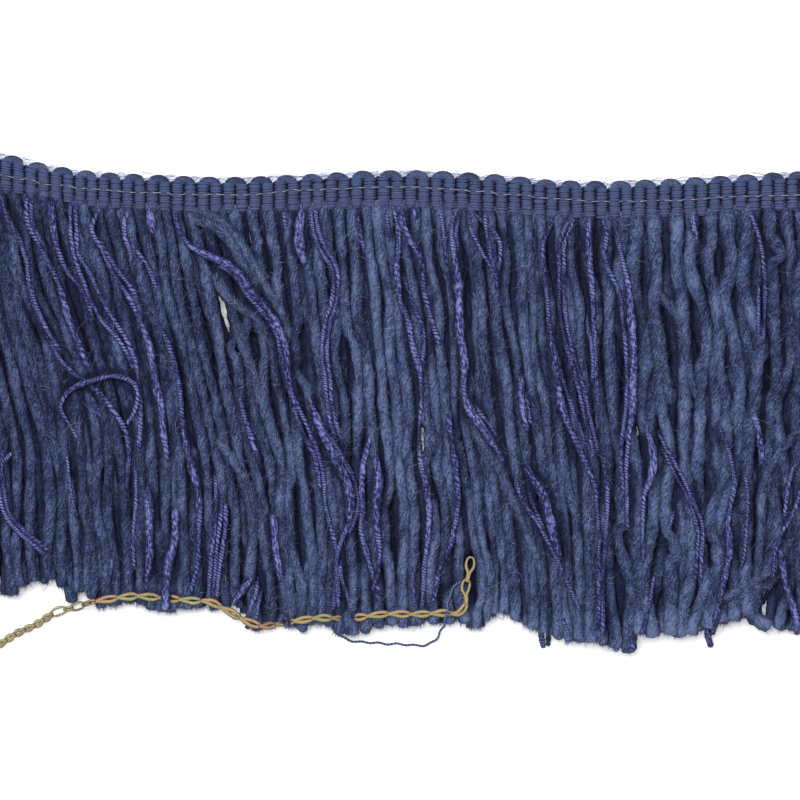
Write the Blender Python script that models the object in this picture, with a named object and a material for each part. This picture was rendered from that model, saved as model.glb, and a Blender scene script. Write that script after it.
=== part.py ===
"""Wool fringe trim: a cut length of brush fringe lying flat with its face up.

The woven heading runs along X at the +Y side, and the cut ends point to -Y.
The wool hangs from it in two layers, with slub yarns on top of them.
A chain stitch holds the ends of the left and middle strands, its tail lies free to the left,
and one loose thread lies in a bow under it.
The origin is at the bottom centre, and every length below is in millimetres.
"""
import math
import random

import bmesh
import bpy
from mathutils import Vector, noise

MM = 0.001
GAP = 0.3

# Heading: a row of upright ribs, two to a scallop
LEFT_END = -118.8
RIB_PITCH = 3.155
RIB_COUNT = 75
RIB_HEIGHT = 2.2
GROOVE_HEIGHT = 1.5
CROWN_HEIGHT = 1.4
CROWN_SLOPE = 1.5
NOTCH_DEPTH = 1.1
RIGHT_END = LEFT_END + RIB_COUNT * RIB_PITCH

HEADING_COLUMNS = ("x", "top", "low")
HEADING = (
    (-118.8, 63.4, 54.2),
    (-97.0, 61.2, 52.0),
    (-90.0, 59.3, 51.0),
    (-78.5, 57.5, 48.8),
    (-62.0, 56.4, 47.6),
    (-41.5, 55.8, 47.2),
    (-24.0, 56.5, 47.8),
    (-2.5, 57.5, 48.5),
    (12.0, 57.2, 48.0),
    (25.0, 56.4, 46.9),
    (37.0, 55.2, 46.0),
    (50.0, 54.8, 45.7),
    (66.0, 55.3, 46.1),
    (75.0, 55.8, 46.5),
    (87.0, 56.5, 47.6),
    (99.0, 57.2, 47.8),
    (118.8, 58.0, 48.0),
)

# Line of the cut ends, as ragged as the real one
TIP_COLUMNS = ("x", "tip")
TIPS = (
    (-120.0, -47.5),
    (-96.0, -48.5),
    (-92.3, -45.0),
    (-90.0, -46.8),
    (-85.5, -44.0),
    (-82.5, -50.0),
    (-79.0, -47.3),
    (-75.0, -51.7),
    (-67.5, -50.5),
    (-58.5, -52.3),
    (-51.0, -52.0),
    (-45.0, -52.8),
    (-41.2, -50.5),
    (-36.0, -56.5),
    (-24.5, -56.8),
    (-20.0, -54.5),
    (-15.0, -57.0),
    (0.0, -55.8),
    (15.0, -55.0),
    (18.8, -57.8),
    (25.0, -52.8),
    (32.5, -57.0),
    (42.5, -60.2),
    (50.0, -60.3),
    (57.0, -62.3),
    (60.0, -57.5),
    (69.0, -59.2),
    (76.0, -57.0),
    (87.5, -54.0),
    (92.0, -56.5),
    (98.8, -57.6),
    (120.0, -57.0),
)

# How the wool leans: where a strand lies at five depths below the heading
FLOW_DEPTHS = (0.0, 24.0, 48.0, 72.0, 97.0)
FLOW_COLUMNS = ("root", "at_24", "at_48", "at_72", "at_97")
FLOW = (
    (-118.8, -115.0, -111.0, -108.0, -106.5),
    (-112.0, -106.5, -100.5, -97.0, -95.5),
    (-106.0, -99.8, -92.5, -88.8, -87.0),
    (-100.0, -93.5, -86.0, -82.0, -80.0),
    (-87.5, -81.3, -74.3, -70.8, -69.2),
    (-75.0, -69.0, -63.2, -60.2, -58.8),
    (-62.5, -57.2, -53.0, -49.5, -48.0),
    (-50.0, -44.5, -40.0, -35.5, -33.0),
    (-37.5, -32.5, -29.5, -26.7, -25.0),
    (-25.0, -22.5, -20.3, -18.2, -17.0),
    (-12.5, -10.2, -8.0, -6.8, -6.2),
    (0.0, 2.7, 5.5, 7.2, 8.2),
    (10.0, 12.0, 14.2, 17.5, 18.8),
    (20.0, 22.0, 24.6, 28.8, 31.5),
    (30.0, 31.5, 34.0, 37.5, 40.0),
    (40.0, 41.8, 44.2, 46.3, 47.8),
    (50.0, 51.2, 53.0, 54.2, 55.2),
    (60.0, 60.8, 62.5, 63.0, 63.6),
    (70.0, 71.5, 73.0, 72.0, 71.5),
    (80.0, 81.0, 82.0, 81.0, 80.0),
    (90.0, 90.5, 91.0, 90.0, 89.0),
    (100.0, 99.5, 99.0, 98.8, 98.3),
    (118.8, 117.5, 117.0, 117.0, 117.3),
)

# The two layers of wool and the yarns on them, from the floor up
STRIP_DEPTH = 2.0
STRIP_MARGIN = 0.4
BEND_DEPTH = 9.0
WOOL_STATIONS = (BEND_DEPTH, 28.0, 50.0, 72.0)
STRAND_WIDEST = 2.6
STRAND_NARROWEST = 1.1
STRAND_CROWN = 0.72
BACK = {"pitch": 3.4, "strip": (0.0, 1.0), "full": (0.0, 1.9), "tip": (0.0, 1.4), "short": (1.0, 5.0)}
FRONT = {"pitch": 2.9, "strip": (1.3, 2.1), "full": (2.2, 4.3), "tip": (1.7, 3.1), "short": (0.0, 0.8)}
YARN_STRIP = (2.4, 3.0)
YARN_LEVEL = (4.6, 5.5)
YARN_ROOT_WIDTH = 0.9

# Slub yarns: where each lies at five depths, its length and its width
YARN_DEPTHS = (0.0, 20.0, 40.0, 60.0, 80.0)
YARN_COLUMNS = ("root", "at_20", "at_40", "at_60", "at_80", "length", "width")
YARNS = (
    (-114.0, -109.5, -105.0, -99.8, -94.5, 85.0, 1.1),
    (-106.0, -100.5, -94.5, -88.5, -82.5, 92.0, 0.9),
    (-99.5, -92.3, -82.0, -67.6, -67.8, 72.0, 1.4),
    (-93.3, -84.3, -77.3, -76.0, -76.0, 38.0, 1.3),
    (-87.0, -77.5, -75.5, -75.0, -75.0, 30.0, 1.3),
    (-81.0, -75.8, -66.2, -65.2, -62.3, 93.0, 1.5),
    (-74.5, -67.0, -61.0, -57.8, -57.5, 64.0, 1.5),
    (-71.0, -63.8, -58.2, -55.0, -55.6, 94.0, 1.5),
    (-67.8, -60.8, -55.3, -52.4, -50.2, 84.0, 1.2),
    (-62.7, -60.0, -58.0, -56.0, -54.0, 7.0, 1.4),
    (-60.6, -54.0, -50.5, -47.5, -46.8, 94.0, 1.6),
    (-59.0, -49.0, -44.5, -41.0, -38.5, 92.0, 1.2),
    (-57.4, -43.5, -39.5, -35.0, -31.5, 96.0, 1.2),
    (-55.8, -36.0, -28.0, -20.8, -17.0, 82.0, 1.7),
    (-27.6, -25.6, -24.0, -17.4, -13.3, 96.0, 1.3),
    (-24.8, -21.3, -19.0, -18.0, -17.0, 17.0, 1.9),
    (-21.3, -16.0, -18.0, -14.0, -14.0, 58.0, 1.3),
    (-10.8, -8.3, -8.0, -8.0, -8.0, 13.0, 1.0),
    (-7.4, -6.9, -6.9, -8.1, -9.2, 92.0, 1.2),
    (-5.6, -4.4, -4.6, -5.9, -5.3, 94.0, 1.3),
    (-4.0, -0.8, 4.3, 4.8, 6.9, 96.0, 1.2),
    (-2.4, 2.0, 5.8, 6.0, 6.0, 35.0, 1.1),
    (1.5, 6.6, 10.6, 11.0, 11.0, 36.0, 1.3),
    (6.0, 8.8, 12.4, 12.9, 13.4, 93.0, 1.3),
    (10.3, 12.2, 13.0, 13.0, 13.0, 13.0, 1.1),
    (14.3, 14.9, 16.0, 24.5, 30.0, 65.0, 1.6),
    (16.7, 24.0, 25.0, 25.0, 25.0, 22.0, 0.9),
    (18.5, 26.0, 26.0, 26.0, 26.0, 15.0, 0.9),
    (26.5, 27.5, 28.3, 29.2, 35.6, 84.0, 1.2),
    (28.5, 29.3, 30.7, 32.0, 38.6, 90.0, 1.6),
    (36.3, 36.3, 39.0, 45.2, 48.9, 98.0, 1.2),
    (41.5, 41.0, 43.6, 48.4, 48.6, 58.0, 1.4),
    (47.5, 47.8, 49.2, 50.6, 51.4, 104.0, 1.2),
    (50.0, 54.4, 56.0, 56.0, 56.0, 24.0, 1.0),
    (53.3, 57.0, 58.0, 56.7, 56.8, 84.0, 1.7),
    (62.0, 62.5, 61.6, 62.3, 60.5, 92.0, 1.5),
    (66.0, 65.5, 64.0, 66.2, 74.8, 95.0, 1.4),
    (73.3, 74.8, 76.0, 76.0, 76.0, 8.0, 1.3),
    (77.0, 77.5, 78.0, 81.3, 82.0, 104.0, 1.3),
    (83.0, 83.2, 84.0, 85.3, 86.1, 90.0, 0.9),
    (87.3, 90.2, 89.6, 89.5, 89.5, 36.0, 1.1),
    (94.0, 95.0, 96.0, 97.2, 94.6, 96.0, 1.0),
    (99.5, 100.4, 100.8, 100.4, 98.0, 104.0, 1.4),
    (107.0, 107.6, 107.8, 106.5, 106.0, 90.0, 1.2),
    (113.0, 113.5, 114.0, 113.5, 113.5, 70.0, 1.2),
)

# One slub yarn curls back over its neighbours in an open bow and ends below them
BOW_COLUMNS = ("x", "y", "lift")
BOW_ROOT = -77.8
BOW_WIDTH = 1.1
BOW = (
    (-71.8, 28.0, 0.0),
    (-63.8, 13.0, 0.2),
    (-63.4, 7.5, 1.4),
    (-67.0, 5.6, 1.5),
    (-72.0, 5.3, 1.5),
    (-77.0, 4.7, 1.5),
    (-81.5, 3.0, 1.4),
    (-84.0, -0.8, 0.3),
    (-83.6, -8.0, 0.0),
    (-82.9, -15.0, 0.0),
    (-82.2, -24.0, 0.0),
)

# Chain stitch through the cut ends: 26 links from the left to the free end on the wool
LINK = 4.1
LINK_FAT = 0.78
LINK_THIN = 0.5
POINTS_PER_LINK = 3
CHAIN_COLUMNS = ("x", "y", "z")
CHAIN = (
    (-76.0, -50.2, 4.4),
    (-71.0, -49.4, 4.4),
    (-66.0, -48.9, 4.4),
    (-60.0, -49.3, 4.4),
    (-52.0, -50.0, 4.4),
    (-47.5, -50.3, 4.4),
    (-43.5, -52.2, 4.4),
    (-38.5, -55.0, 4.3),
    (-34.0, -56.4, 4.3),
    (-27.0, -55.4, 4.3),
    (-20.0, -54.3, 4.3),
    (-12.0, -54.5, 4.3),
    (-4.0, -53.4, 4.3),
    (4.0, -53.4, 4.3),
    (11.0, -53.1, 4.3),
    (15.0, -53.0, 4.4),
    (16.4, -51.0, 4.5),
    (16.3, -47.0, 4.7),
    (17.2, -43.0, 4.9),
    (17.7, -39.2, 5.1),
)

# Free tail of the chain, from the sewn edge down to the floor and out to the left
TAIL_RADIUS = 0.8
TAIL_SPACING = 4.0
TAIL = (
    (-77.2, -50.5, 4.3),
    (-79.5, -51.2, 3.0),
    (-82.0, -51.9, 1.4),
    (-85.5, -52.8, 0.82),
    (-90.8, -56.0, 0.82),
    (-96.5, -58.7, 0.82),
    (-100.0, -61.0, 0.82),
    (-105.0, -63.6, 0.82),
    (-110.5, -66.0, 0.82),
)

# Loose thread: out of the cut ends, along the floor and up over the chain onto the wool
THREAD_RADIUS = 0.28
THREAD_SPACING = 1.4
THREAD = (
    (-16.6, -57.5, 0.5),
    (-15.0, -58.7, 0.3),
    (-13.2, -59.7, 0.3),
    (-11.0, -60.4, 0.3),
    (-6.0, -60.8, 0.3),
    (0.0, -60.9, 0.3),
    (4.2, -61.5, 0.3),
    (6.6, -61.3, 0.35),
    (8.4, -60.2, 0.7),
    (9.9, -58.0, 1.8),
    (11.2, -55.7, 4.2),
    (11.8, -53.3, 5.75),
    (11.9, -50.8, 5.3),
    (12.5, -48.0, 4.5),
    (13.8, -46.2, 4.4),
    (15.2, -45.2, 4.4),
)


def along(rows, key, column):
    """Value of one column at a place between two rows, on a smooth curve through them."""
    last = len(rows) - 1
    index = 0
    while index < last - 1 and rows[index + 1][0] < key:
        index += 1
    before = rows[max(index - 1, 0)]
    start = rows[index]
    end = rows[index + 1]
    after = rows[min(index + 2, last)]
    span = end[0] - start[0]
    part = min(max((key - start[0]) / span, 0.0), 1.0)
    slope_start = (end[column] - before[column]) / (end[0] - before[0]) * span
    slope_end = (after[column] - start[column]) / (after[0] - start[0]) * span
    square = part * part
    cube = square * part
    return ((2 * cube - 3 * square + 1) * start[column] + (cube - 2 * square + part) * slope_start
            + (3 * square - 2 * cube) * end[column] + (cube - square) * slope_end)


def straight(rows, key, column):
    """Value of one column at a place between two rows, on straight runs between them."""
    index = 0
    while index < len(rows) - 2 and rows[index + 1][0] < key:
        index += 1
    start = rows[index]
    end = rows[index + 1]
    part = min(max((key - start[0]) / (end[0] - start[0]), 0.0), 1.0)
    return start[column] + part * (end[column] - start[column])


def heading_low(x):
    return along(HEADING, x, HEADING_COLUMNS.index("low"))


def heading_top(x):
    return along(HEADING, x, HEADING_COLUMNS.index("top"))


def tip_line(x):
    return straight(TIPS, x, TIP_COLUMNS.index("tip"))


def material(name, color, roughness):
    """One plain cloth-like material."""
    made = bpy.data.materials.new(name)
    made.use_nodes = True
    shader = made.node_tree.nodes["Principled BSDF"]
    shader.inputs["Base Color"].default_value = (*color, 1.0)
    shader.inputs["Roughness"].default_value = roughness
    shader.inputs["Metallic"].default_value = 0.0
    return made


def add_object(name, mesh, collection, finish):
    made = bpy.data.objects.new(name, mesh)
    made.data.materials.append(finish)
    collection.objects.link(made)
    return made


def mesh_from(bm, name):
    """Finish a mesh built in millimetres: faces turned outwards, size in metres."""
    bmesh.ops.recalc_face_normals(bm, faces=bm.faces)
    bmesh.ops.scale(bm, vec=(MM, MM, MM), verts=bm.verts)
    mesh = bpy.data.meshes.new(name)
    bm.to_mesh(mesh)
    bm.free()
    return mesh


def join_rings(bm, first, second):
    """Walls between two rings of equally many corners."""
    count = len(first)
    for corner in range(count):
        following = (corner + 1) % count
        bm.faces.new((first[corner], first[following], second[following], second[corner]))


def heading_mesh():
    """Woven band: every rib is a raised bar, and every two ribs share one rounded scallop."""
    bm = bmesh.new()
    rings = []
    profile = ((0.0, GROOVE_HEIGHT), (0.22, RIB_HEIGHT), (0.78, RIB_HEIGHT))
    places = [(rib + part, height) for rib in range(RIB_COUNT) for part, height in profile]
    places.append((float(RIB_COUNT), GROOVE_HEIGHT))
    for place, height in places:
        x = LEFT_END + place * RIB_PITCH
        arch = math.sqrt(max(math.sin(math.pi * (place % 2.0) / 2.0), 0.0))
        crown = heading_top(x) - NOTCH_DEPTH * (1.0 - arch)
        low = heading_low(x)
        section = ((low, 0.0), (low, height), (crown - CROWN_SLOPE, height), (crown, CROWN_HEIGHT), (crown, 0.0))
        rings.append([bm.verts.new((x, y, z)) for y, z in section])
    for first, second in zip(rings, rings[1:]):
        join_rings(bm, first, second)
    bm.faces.new(rings[0])
    bm.faces.new(rings[-1])
    return mesh_from(bm, "heading")


def ring_corners(center, heading, width, levels):
    """Four corners of a strand across its run: flat below, a little narrower above."""
    right = Vector((-heading.y, heading.x))
    bottom, top = levels
    half = width / 2.0
    crown = half * STRAND_CROWN
    return (
        (center.x - right.x * half, center.y - right.y * half, bottom),
        (center.x + right.x * half, center.y + right.y * half, bottom),
        (center.x + right.x * crown, center.y + right.y * crown, top),
        (center.x - right.x * crown, center.y - right.y * crown, top),
    )


def layer_mesh(name, strip_levels, strands):
    """A narrow strip below the heading, with each strand drawn out of its front wall as one body.

    A strand is a root position, a root width, and its stations: center, width and levels."""
    bm = bmesh.new()
    stops = [LEFT_END + STRIP_MARGIN]
    for strand in strands:
        stops += [strand["root"] - strand["root_width"] / 2.0, strand["root"] + strand["root_width"] / 2.0]
    stops.append(RIGHT_END - STRIP_MARGIN)
    bottom, top = strip_levels
    rings = []
    for x in stops:
        back = heading_low(x) - GAP
        front = back - STRIP_DEPTH
        section = ((back, bottom), (front, bottom), (front, top), (back, top))
        rings.append([bm.verts.new((x, y, z)) for y, z in section])
    for index, (first, second) in enumerate(zip(rings, rings[1:])):
        for corner in range(4):
            following = (corner + 1) % 4
            is_root = index % 2 == 1 and corner == 1
            if not is_root:
                bm.faces.new((first[corner], first[following], second[following], second[corner]))
    bm.faces.new(rings[0])
    bm.faces.new(rings[-1])
    for index, strand in enumerate(strands):
        left = rings[2 * index + 1]
        right = rings[2 * index + 2]
        ring = [left[1], right[1], right[2], left[2]]
        centers = [station[0] for station in strand["stations"]]
        root_y = (left[1].co.y + right[1].co.y) / 2.0
        before = Vector((strand["root"], root_y))
        for step, (center, width, levels) in enumerate(strand["stations"]):
            after = centers[min(step + 1, len(centers) - 1)]
            direction = (after - before).normalized()
            fresh = [bm.verts.new(corner) for corner in ring_corners(center, direction, width, levels)]
            join_rings(bm, ring, fresh)
            ring = fresh
            before = center
        bm.faces.new(ring)
    return mesh_from(bm, name)


def flow(root, depth, seed):
    """Where a strand with this root lies at a depth, with a slow waver that neighbours share."""
    rows = [(at, along(FLOW, root, column)) for column, at in enumerate(FLOW_DEPTHS)]
    waver = noise.noise(Vector((root * 0.11, depth * 0.035, seed))) * 1.6 * min(depth / 20.0, 1.0)
    return along(rows, depth, 1) + waver


def wool_layer(name, plan, seed):
    """Strands side by side, each as wide as the room between its neighbours allows."""
    chance = random.Random(seed)
    margin = STRAND_WIDEST / 2.0 + STRIP_MARGIN
    count = int((RIGHT_END - LEFT_END - 2.0 * margin) / plan["pitch"]) + 1
    roots = [LEFT_END + margin + plan["pitch"] * index for index in range(count)]
    strands = []
    for index, root in enumerate(roots):
        length = heading_low(root) - tip_line(flow(root, WOOL_STATIONS[-1], seed))
        for _ in range(3):
            length = heading_low(root) - tip_line(flow(root, length, seed))
        length -= chance.uniform(*plan["short"])
        stations = []
        for depth in (*WOOL_STATIONS, length):
            x = flow(root, depth, seed)
            neighbours = [roots[other] for other in (index - 1, index + 1) if 0 <= other < count]
            room = min(abs(flow(other, depth, seed) - x) for other in neighbours)
            width = min(max(room - 2.0 * GAP, STRAND_NARROWEST), STRAND_WIDEST)
            levels = plan["tip"] if depth == length else plan["full"]
            stations.append((Vector((x, heading_low(root) - depth)), width, levels))
        root_width = min(plan["pitch"] - 3.0 * GAP, STRAND_WIDEST)
        strands.append({"root": root, "root_width": root_width, "stations": stations})
    return layer_mesh(name, plan["strip"], strands)


def yarn_strand(row):
    """One slub yarn of the table, laid on the wool."""
    places = dict(zip(YARN_COLUMNS, row))
    rows = list(zip(YARN_DEPTHS, row))
    length = places["length"]
    depths = [BEND_DEPTH] if length > BEND_DEPTH + 3.0 else []
    depths += [depth for depth in YARN_DEPTHS[1:] if depth < length - 3.0]
    stations = []
    for depth in (*depths, length):
        center = Vector((along(rows, depth, 1), heading_low(places["root"]) - depth))
        stations.append((center, places["width"], YARN_LEVEL))
    return {"root": places["root"], "root_width": YARN_ROOT_WIDTH, "stations": stations}


def bow_strand():
    """The yarn that curls back over its neighbours."""
    bottom, top = YARN_LEVEL
    bend = Vector((BOW_ROOT + 2.2, heading_low(BOW_ROOT) - BEND_DEPTH))
    stations = [(bend, BOW_WIDTH, YARN_LEVEL)]
    for x, y, lift in BOW:
        stations.append((Vector((x, y)), BOW_WIDTH, (bottom + lift, top + lift)))
    return {"root": BOW_ROOT, "root_width": YARN_ROOT_WIDTH, "stations": stations}


def yarn_mesh():
    strands = [yarn_strand(row) for row in YARNS]
    strands.append(bow_strand())
    strands.sort(key=lambda strand: strand["root"])
    return layer_mesh("slub_yarns", YARN_STRIP, strands)


def even_points(route, spacing):
    """Points at equal steps on a smooth curve through the route."""
    places = [Vector(point) for point in route]
    dense = []
    steps = 24
    for index in range(len(places) - 1):
        before = places[max(index - 1, 0)]
        start = places[index]
        end = places[index + 1]
        after = places[min(index + 2, len(places) - 1)]
        for step in range(steps):
            part = step / steps
            square = part * part
            cube = square * part
            dense.append(0.5 * ((2.0 * start) + (end - before) * part
                                + (2.0 * before - 5.0 * start + 4.0 * end - after) * square
                                + (3.0 * start - 3.0 * end + after - before) * cube))
    dense.append(places[-1])
    lengths = [0.0]
    for first, second in zip(dense, dense[1:]):
        lengths.append(lengths[-1] + (second - first).length)
    count = max(round(lengths[-1] / spacing), 1)
    points = []
    index = 0
    for step in range(count + 1):
        wanted = lengths[-1] * step / count
        while index < len(dense) - 2 and lengths[index + 1] < wanted:
            index += 1
        span = lengths[index + 1] - lengths[index]
        part = min((wanted - lengths[index]) / span, 1.0)
        points.append(dense[index].lerp(dense[index + 1], part))
    return points


def tube_object(name, points, radii, sides_step, collection, finish):
    """A round solid along the points, with closed ends. Its radius follows the list."""
    curve = bpy.data.curves.new(name, "CURVE")
    curve.dimensions = "3D"
    curve.bevel_depth = MM
    curve.bevel_resolution = sides_step
    curve.use_fill_caps = True
    spline = curve.splines.new("POLY")
    spline.points.add(len(points) - 1)
    for point, place, radius in zip(spline.points, points, radii):
        point.co = (*(place * MM), 1.0)
        point.radius = radius
    made = bpy.data.objects.new(name, curve)
    made.data.materials.append(finish)
    collection.objects.link(made)
    return made


def chain_object(collection, finish):
    """Sewn chain: a tube that swells once in every link."""
    points = even_points(CHAIN, LINK / POINTS_PER_LINK)
    swell = [LINK_THIN if index % POINTS_PER_LINK == 0 else LINK_FAT for index in range(len(points))]
    return tube_object("stay_chain", points, swell, 1, collection, finish)


def build():
    for old in list(bpy.data.objects):
        bpy.data.objects.remove(old, do_unlink=True)
    parts = bpy.data.collections.new("wool_fringe_trim")
    bpy.context.scene.collection.children.link(parts)

    navy_band = material("navy_band", (0.075, 0.085, 0.185), 0.8)
    navy_wool = material("navy_wool", (0.062, 0.083, 0.180), 0.95)
    deep_wool = material("deep_wool", (0.040, 0.052, 0.120), 0.95)
    violet_yarn = material("violet_yarn", (0.120, 0.115, 0.360), 0.7)
    gold_thread = material("gold_thread", (0.420, 0.360, 0.140), 0.45)
    slate_thread = material("slate_thread", (0.070, 0.080, 0.150), 0.6)

    add_object("heading", heading_mesh(), parts, navy_band)
    add_object("fringe_back", wool_layer("fringe_back", BACK, 3), parts, deep_wool)
    add_object("fringe_front", wool_layer("fringe_front", FRONT, 8), parts, navy_wool)
    add_object("slub_yarns", yarn_mesh(), parts, violet_yarn)
    chain_object(parts, gold_thread)

    tail = even_points(TAIL, TAIL_SPACING)
    tube_object("chain_tail", tail, [TAIL_RADIUS] * len(tail), 2, parts, gold_thread)
    thread = even_points(THREAD, THREAD_SPACING)
    tube_object("loose_thread", thread, [THREAD_RADIUS] * len(thread), 2, parts, slate_thread)


build()
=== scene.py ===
"""Looks of the wool fringe trim: roving, slub yarns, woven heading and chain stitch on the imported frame.

Lengths in the tables are millimetres in the part's own frame: x along the heading, y up the photo, z up
from the surface. The trim lies flat and the camera looks straight down on it.
"""
import math
from collections import namedtuple

import bpy
import numpy as np
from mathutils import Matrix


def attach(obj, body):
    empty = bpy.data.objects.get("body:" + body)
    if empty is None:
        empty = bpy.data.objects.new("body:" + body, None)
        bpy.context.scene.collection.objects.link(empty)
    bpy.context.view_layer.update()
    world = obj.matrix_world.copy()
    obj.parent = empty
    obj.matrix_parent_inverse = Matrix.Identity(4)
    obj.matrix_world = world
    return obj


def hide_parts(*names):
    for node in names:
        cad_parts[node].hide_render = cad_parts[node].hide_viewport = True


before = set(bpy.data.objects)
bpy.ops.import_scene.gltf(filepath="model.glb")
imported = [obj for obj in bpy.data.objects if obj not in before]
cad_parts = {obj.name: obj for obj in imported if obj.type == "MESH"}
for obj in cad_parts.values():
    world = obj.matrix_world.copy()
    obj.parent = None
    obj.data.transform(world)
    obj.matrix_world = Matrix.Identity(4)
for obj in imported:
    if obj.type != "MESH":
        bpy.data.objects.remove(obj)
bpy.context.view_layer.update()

MM = 0.001
TURN = 2 * math.pi
UP = np.array([0.0, 0.0, 1.0])
FINE = 0.3                      # spacing of the points that a strand's height is worked out at

# Heading: ribs in pairs, a scallop to a pair
LEFT_END = -118.8
RIB_PITCH = 3.155
RIB_COUNT = 75
RIB_RADIUS = 1.2
RIB_CENTRE = 1.1
CAP_RISE = 0.9
CAP_LEAN = 0.9                  # below 1, the cap is highest before its middle
RIB_DRIFT = (  # x, how far right of an even spacing the ribs lie there
    (-118.8, 0), (-84.5, -0.2), (-71.7, -1.0), (-62, -1.45), (-46.4, -1.35), (-34, -1.0), (-8.5, -0.85),
    (1, 0), (17, 0.35), (29, 0.75), (42, 0.55), (60, 0.35), (80, 0.2), (92, 0.7), (118.8, 0.8),
)
HEADING = (  # x, top, low
    (-118.8, 63.4, 54.2), (-97, 61.2, 52), (-90, 59.3, 51), (-78.5, 57.5, 48.8), (-62, 56.4, 47.6),
    (-41.5, 55.8, 47.2), (-24, 56.5, 47.8), (-2.5, 57.5, 48.5), (12, 57.2, 48), (25, 56.4, 46.9),
    (37, 55.2, 46), (50, 54.8, 45.7), (66, 55.3, 46.1), (75, 55.8, 46.5), (87, 56.5, 47.6),
    (99, 57.2, 47.8), (118.8, 58, 48),
)

# Lower edge of the skirt
TIPS = (  # x, tip
    (-120, -47.5), (-96, -48.5), (-92.3, -45), (-90, -46.8), (-85.5, -44), (-82.5, -50), (-79, -47.3),
    (-75, -51.7), (-67.5, -50.5), (-58.5, -52.3), (-51, -52), (-45, -52.8), (-41.2, -50.5), (-36, -56.5),
    (-24.5, -56.8), (-20, -55.5), (-15.5, -58), (-11, -58), (0, -56.2), (15, -55.4), (18.8, -57.8),
    (25, -52.8), (32.5, -57), (42.5, -60.2), (50, -60.3), (57, -62.3), (60, -57.5), (69, -59.2), (76, -57),
    (87.5, -54), (92, -56.5), (98.8, -57.6), (120, -57),
)

# Where a strand that leaves the heading at root lies, further and further below the heading
FLOW_DEPTHS = (0, 24, 48, 72, 97)
FLOW = (  # x at each depth
    (-118.8, -114, -108.7, -105.2, -103.5), (-112, -106.5, -100.5, -97, -95.5),
    (-106, -99.8, -92.5, -88.8, -87), (-100, -93.5, -86, -82, -80),
    (-87.5, -81.3, -74.3, -70.8, -69.2), (-75, -69, -63.2, -60.2, -58.8),
    (-62.5, -57.2, -53, -49.5, -48), (-50, -44.5, -40, -35.5, -33), (-37.5, -32.5, -29.5, -26.7, -25),
    (-25, -22.5, -20.3, -18.2, -17), (-12.5, -10.2, -8, -6.8, -6.2), (0, 2.7, 5.5, 7.2, 8.2),
    (10, 12, 14.2, 17.5, 18.8), (20, 22, 24.6, 28.8, 31.5), (30, 31.5, 34, 37.5, 40),
    (40, 41.8, 44.2, 46.3, 47.8), (50, 51.2, 53, 54.2, 55.2), (60, 60.8, 62.5, 63, 63.6),
    (70, 71.5, 73, 72, 71.5), (80, 81, 82, 81, 80), (90, 90.5, 91, 90, 89), (100, 99.5, 99, 98.8, 98.3),
    (118.8, 117.5, 117, 117, 117.3),
)

# Places where the layers part: whole ones show the floor, the others the wool below
PARTINGS = (  # x and y of the upper end, x and y of the lower end, width, layers from the top down that part
    (-46.6, 29.5, -42.6, 17.5, 0.4, 3), (-40.8, 13.5, -40.4, 11.5, 0.2, 3), (5.9, -6.5, 5.8, -13.5, 1.4, 3),
    (58.9, -6, 59.1, -9, 0.3, 3), (91.5, -44, 90, -54, 1.6, 3), (65.8, 26.3, 67, 19.5, 0.8, 2),
    (72.8, 23.3, 74.3, 11.5, 1.1, 2), (78.3, 37, 79, 30, 0.7, 2), (91.5, 40, 93.5, 35.5, 1.0, 1),
    (90.8, 10, 92.5, 2.5, 1.2, 2), (16.5, 36, 17.2, 20.5, 0.9, 2), (-25, 17, -24.5, 6.5, 0.8, 2),
    (-33.5, 38, -32.5, 32, 0.8, 1), (-12.8, 14, -12.3, 5, 0.7, 1), (-26, -22, -24.5, -40, 1.3, 2),
    (-2.5, -26, -1.8, -39, 1.0, 2), (17.8, -40, 18.6, -49.5, 1.2, 2), (77, -35, 77.5, -41.5, 1.4, 2),
    (76, -16, 77, -23, 1.0, 2), (88, -24, 88.5, -41, 1.8, 2), (53, -26, 53.8, -31, 1.2, 1),
    (66.3, -34.5, 67, -39, 1.2, 1), (42, -28, 43.3, -47.5, 0.9, 1), (-36.5, 17, -36, 10, 1.6, 2),
)

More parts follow.
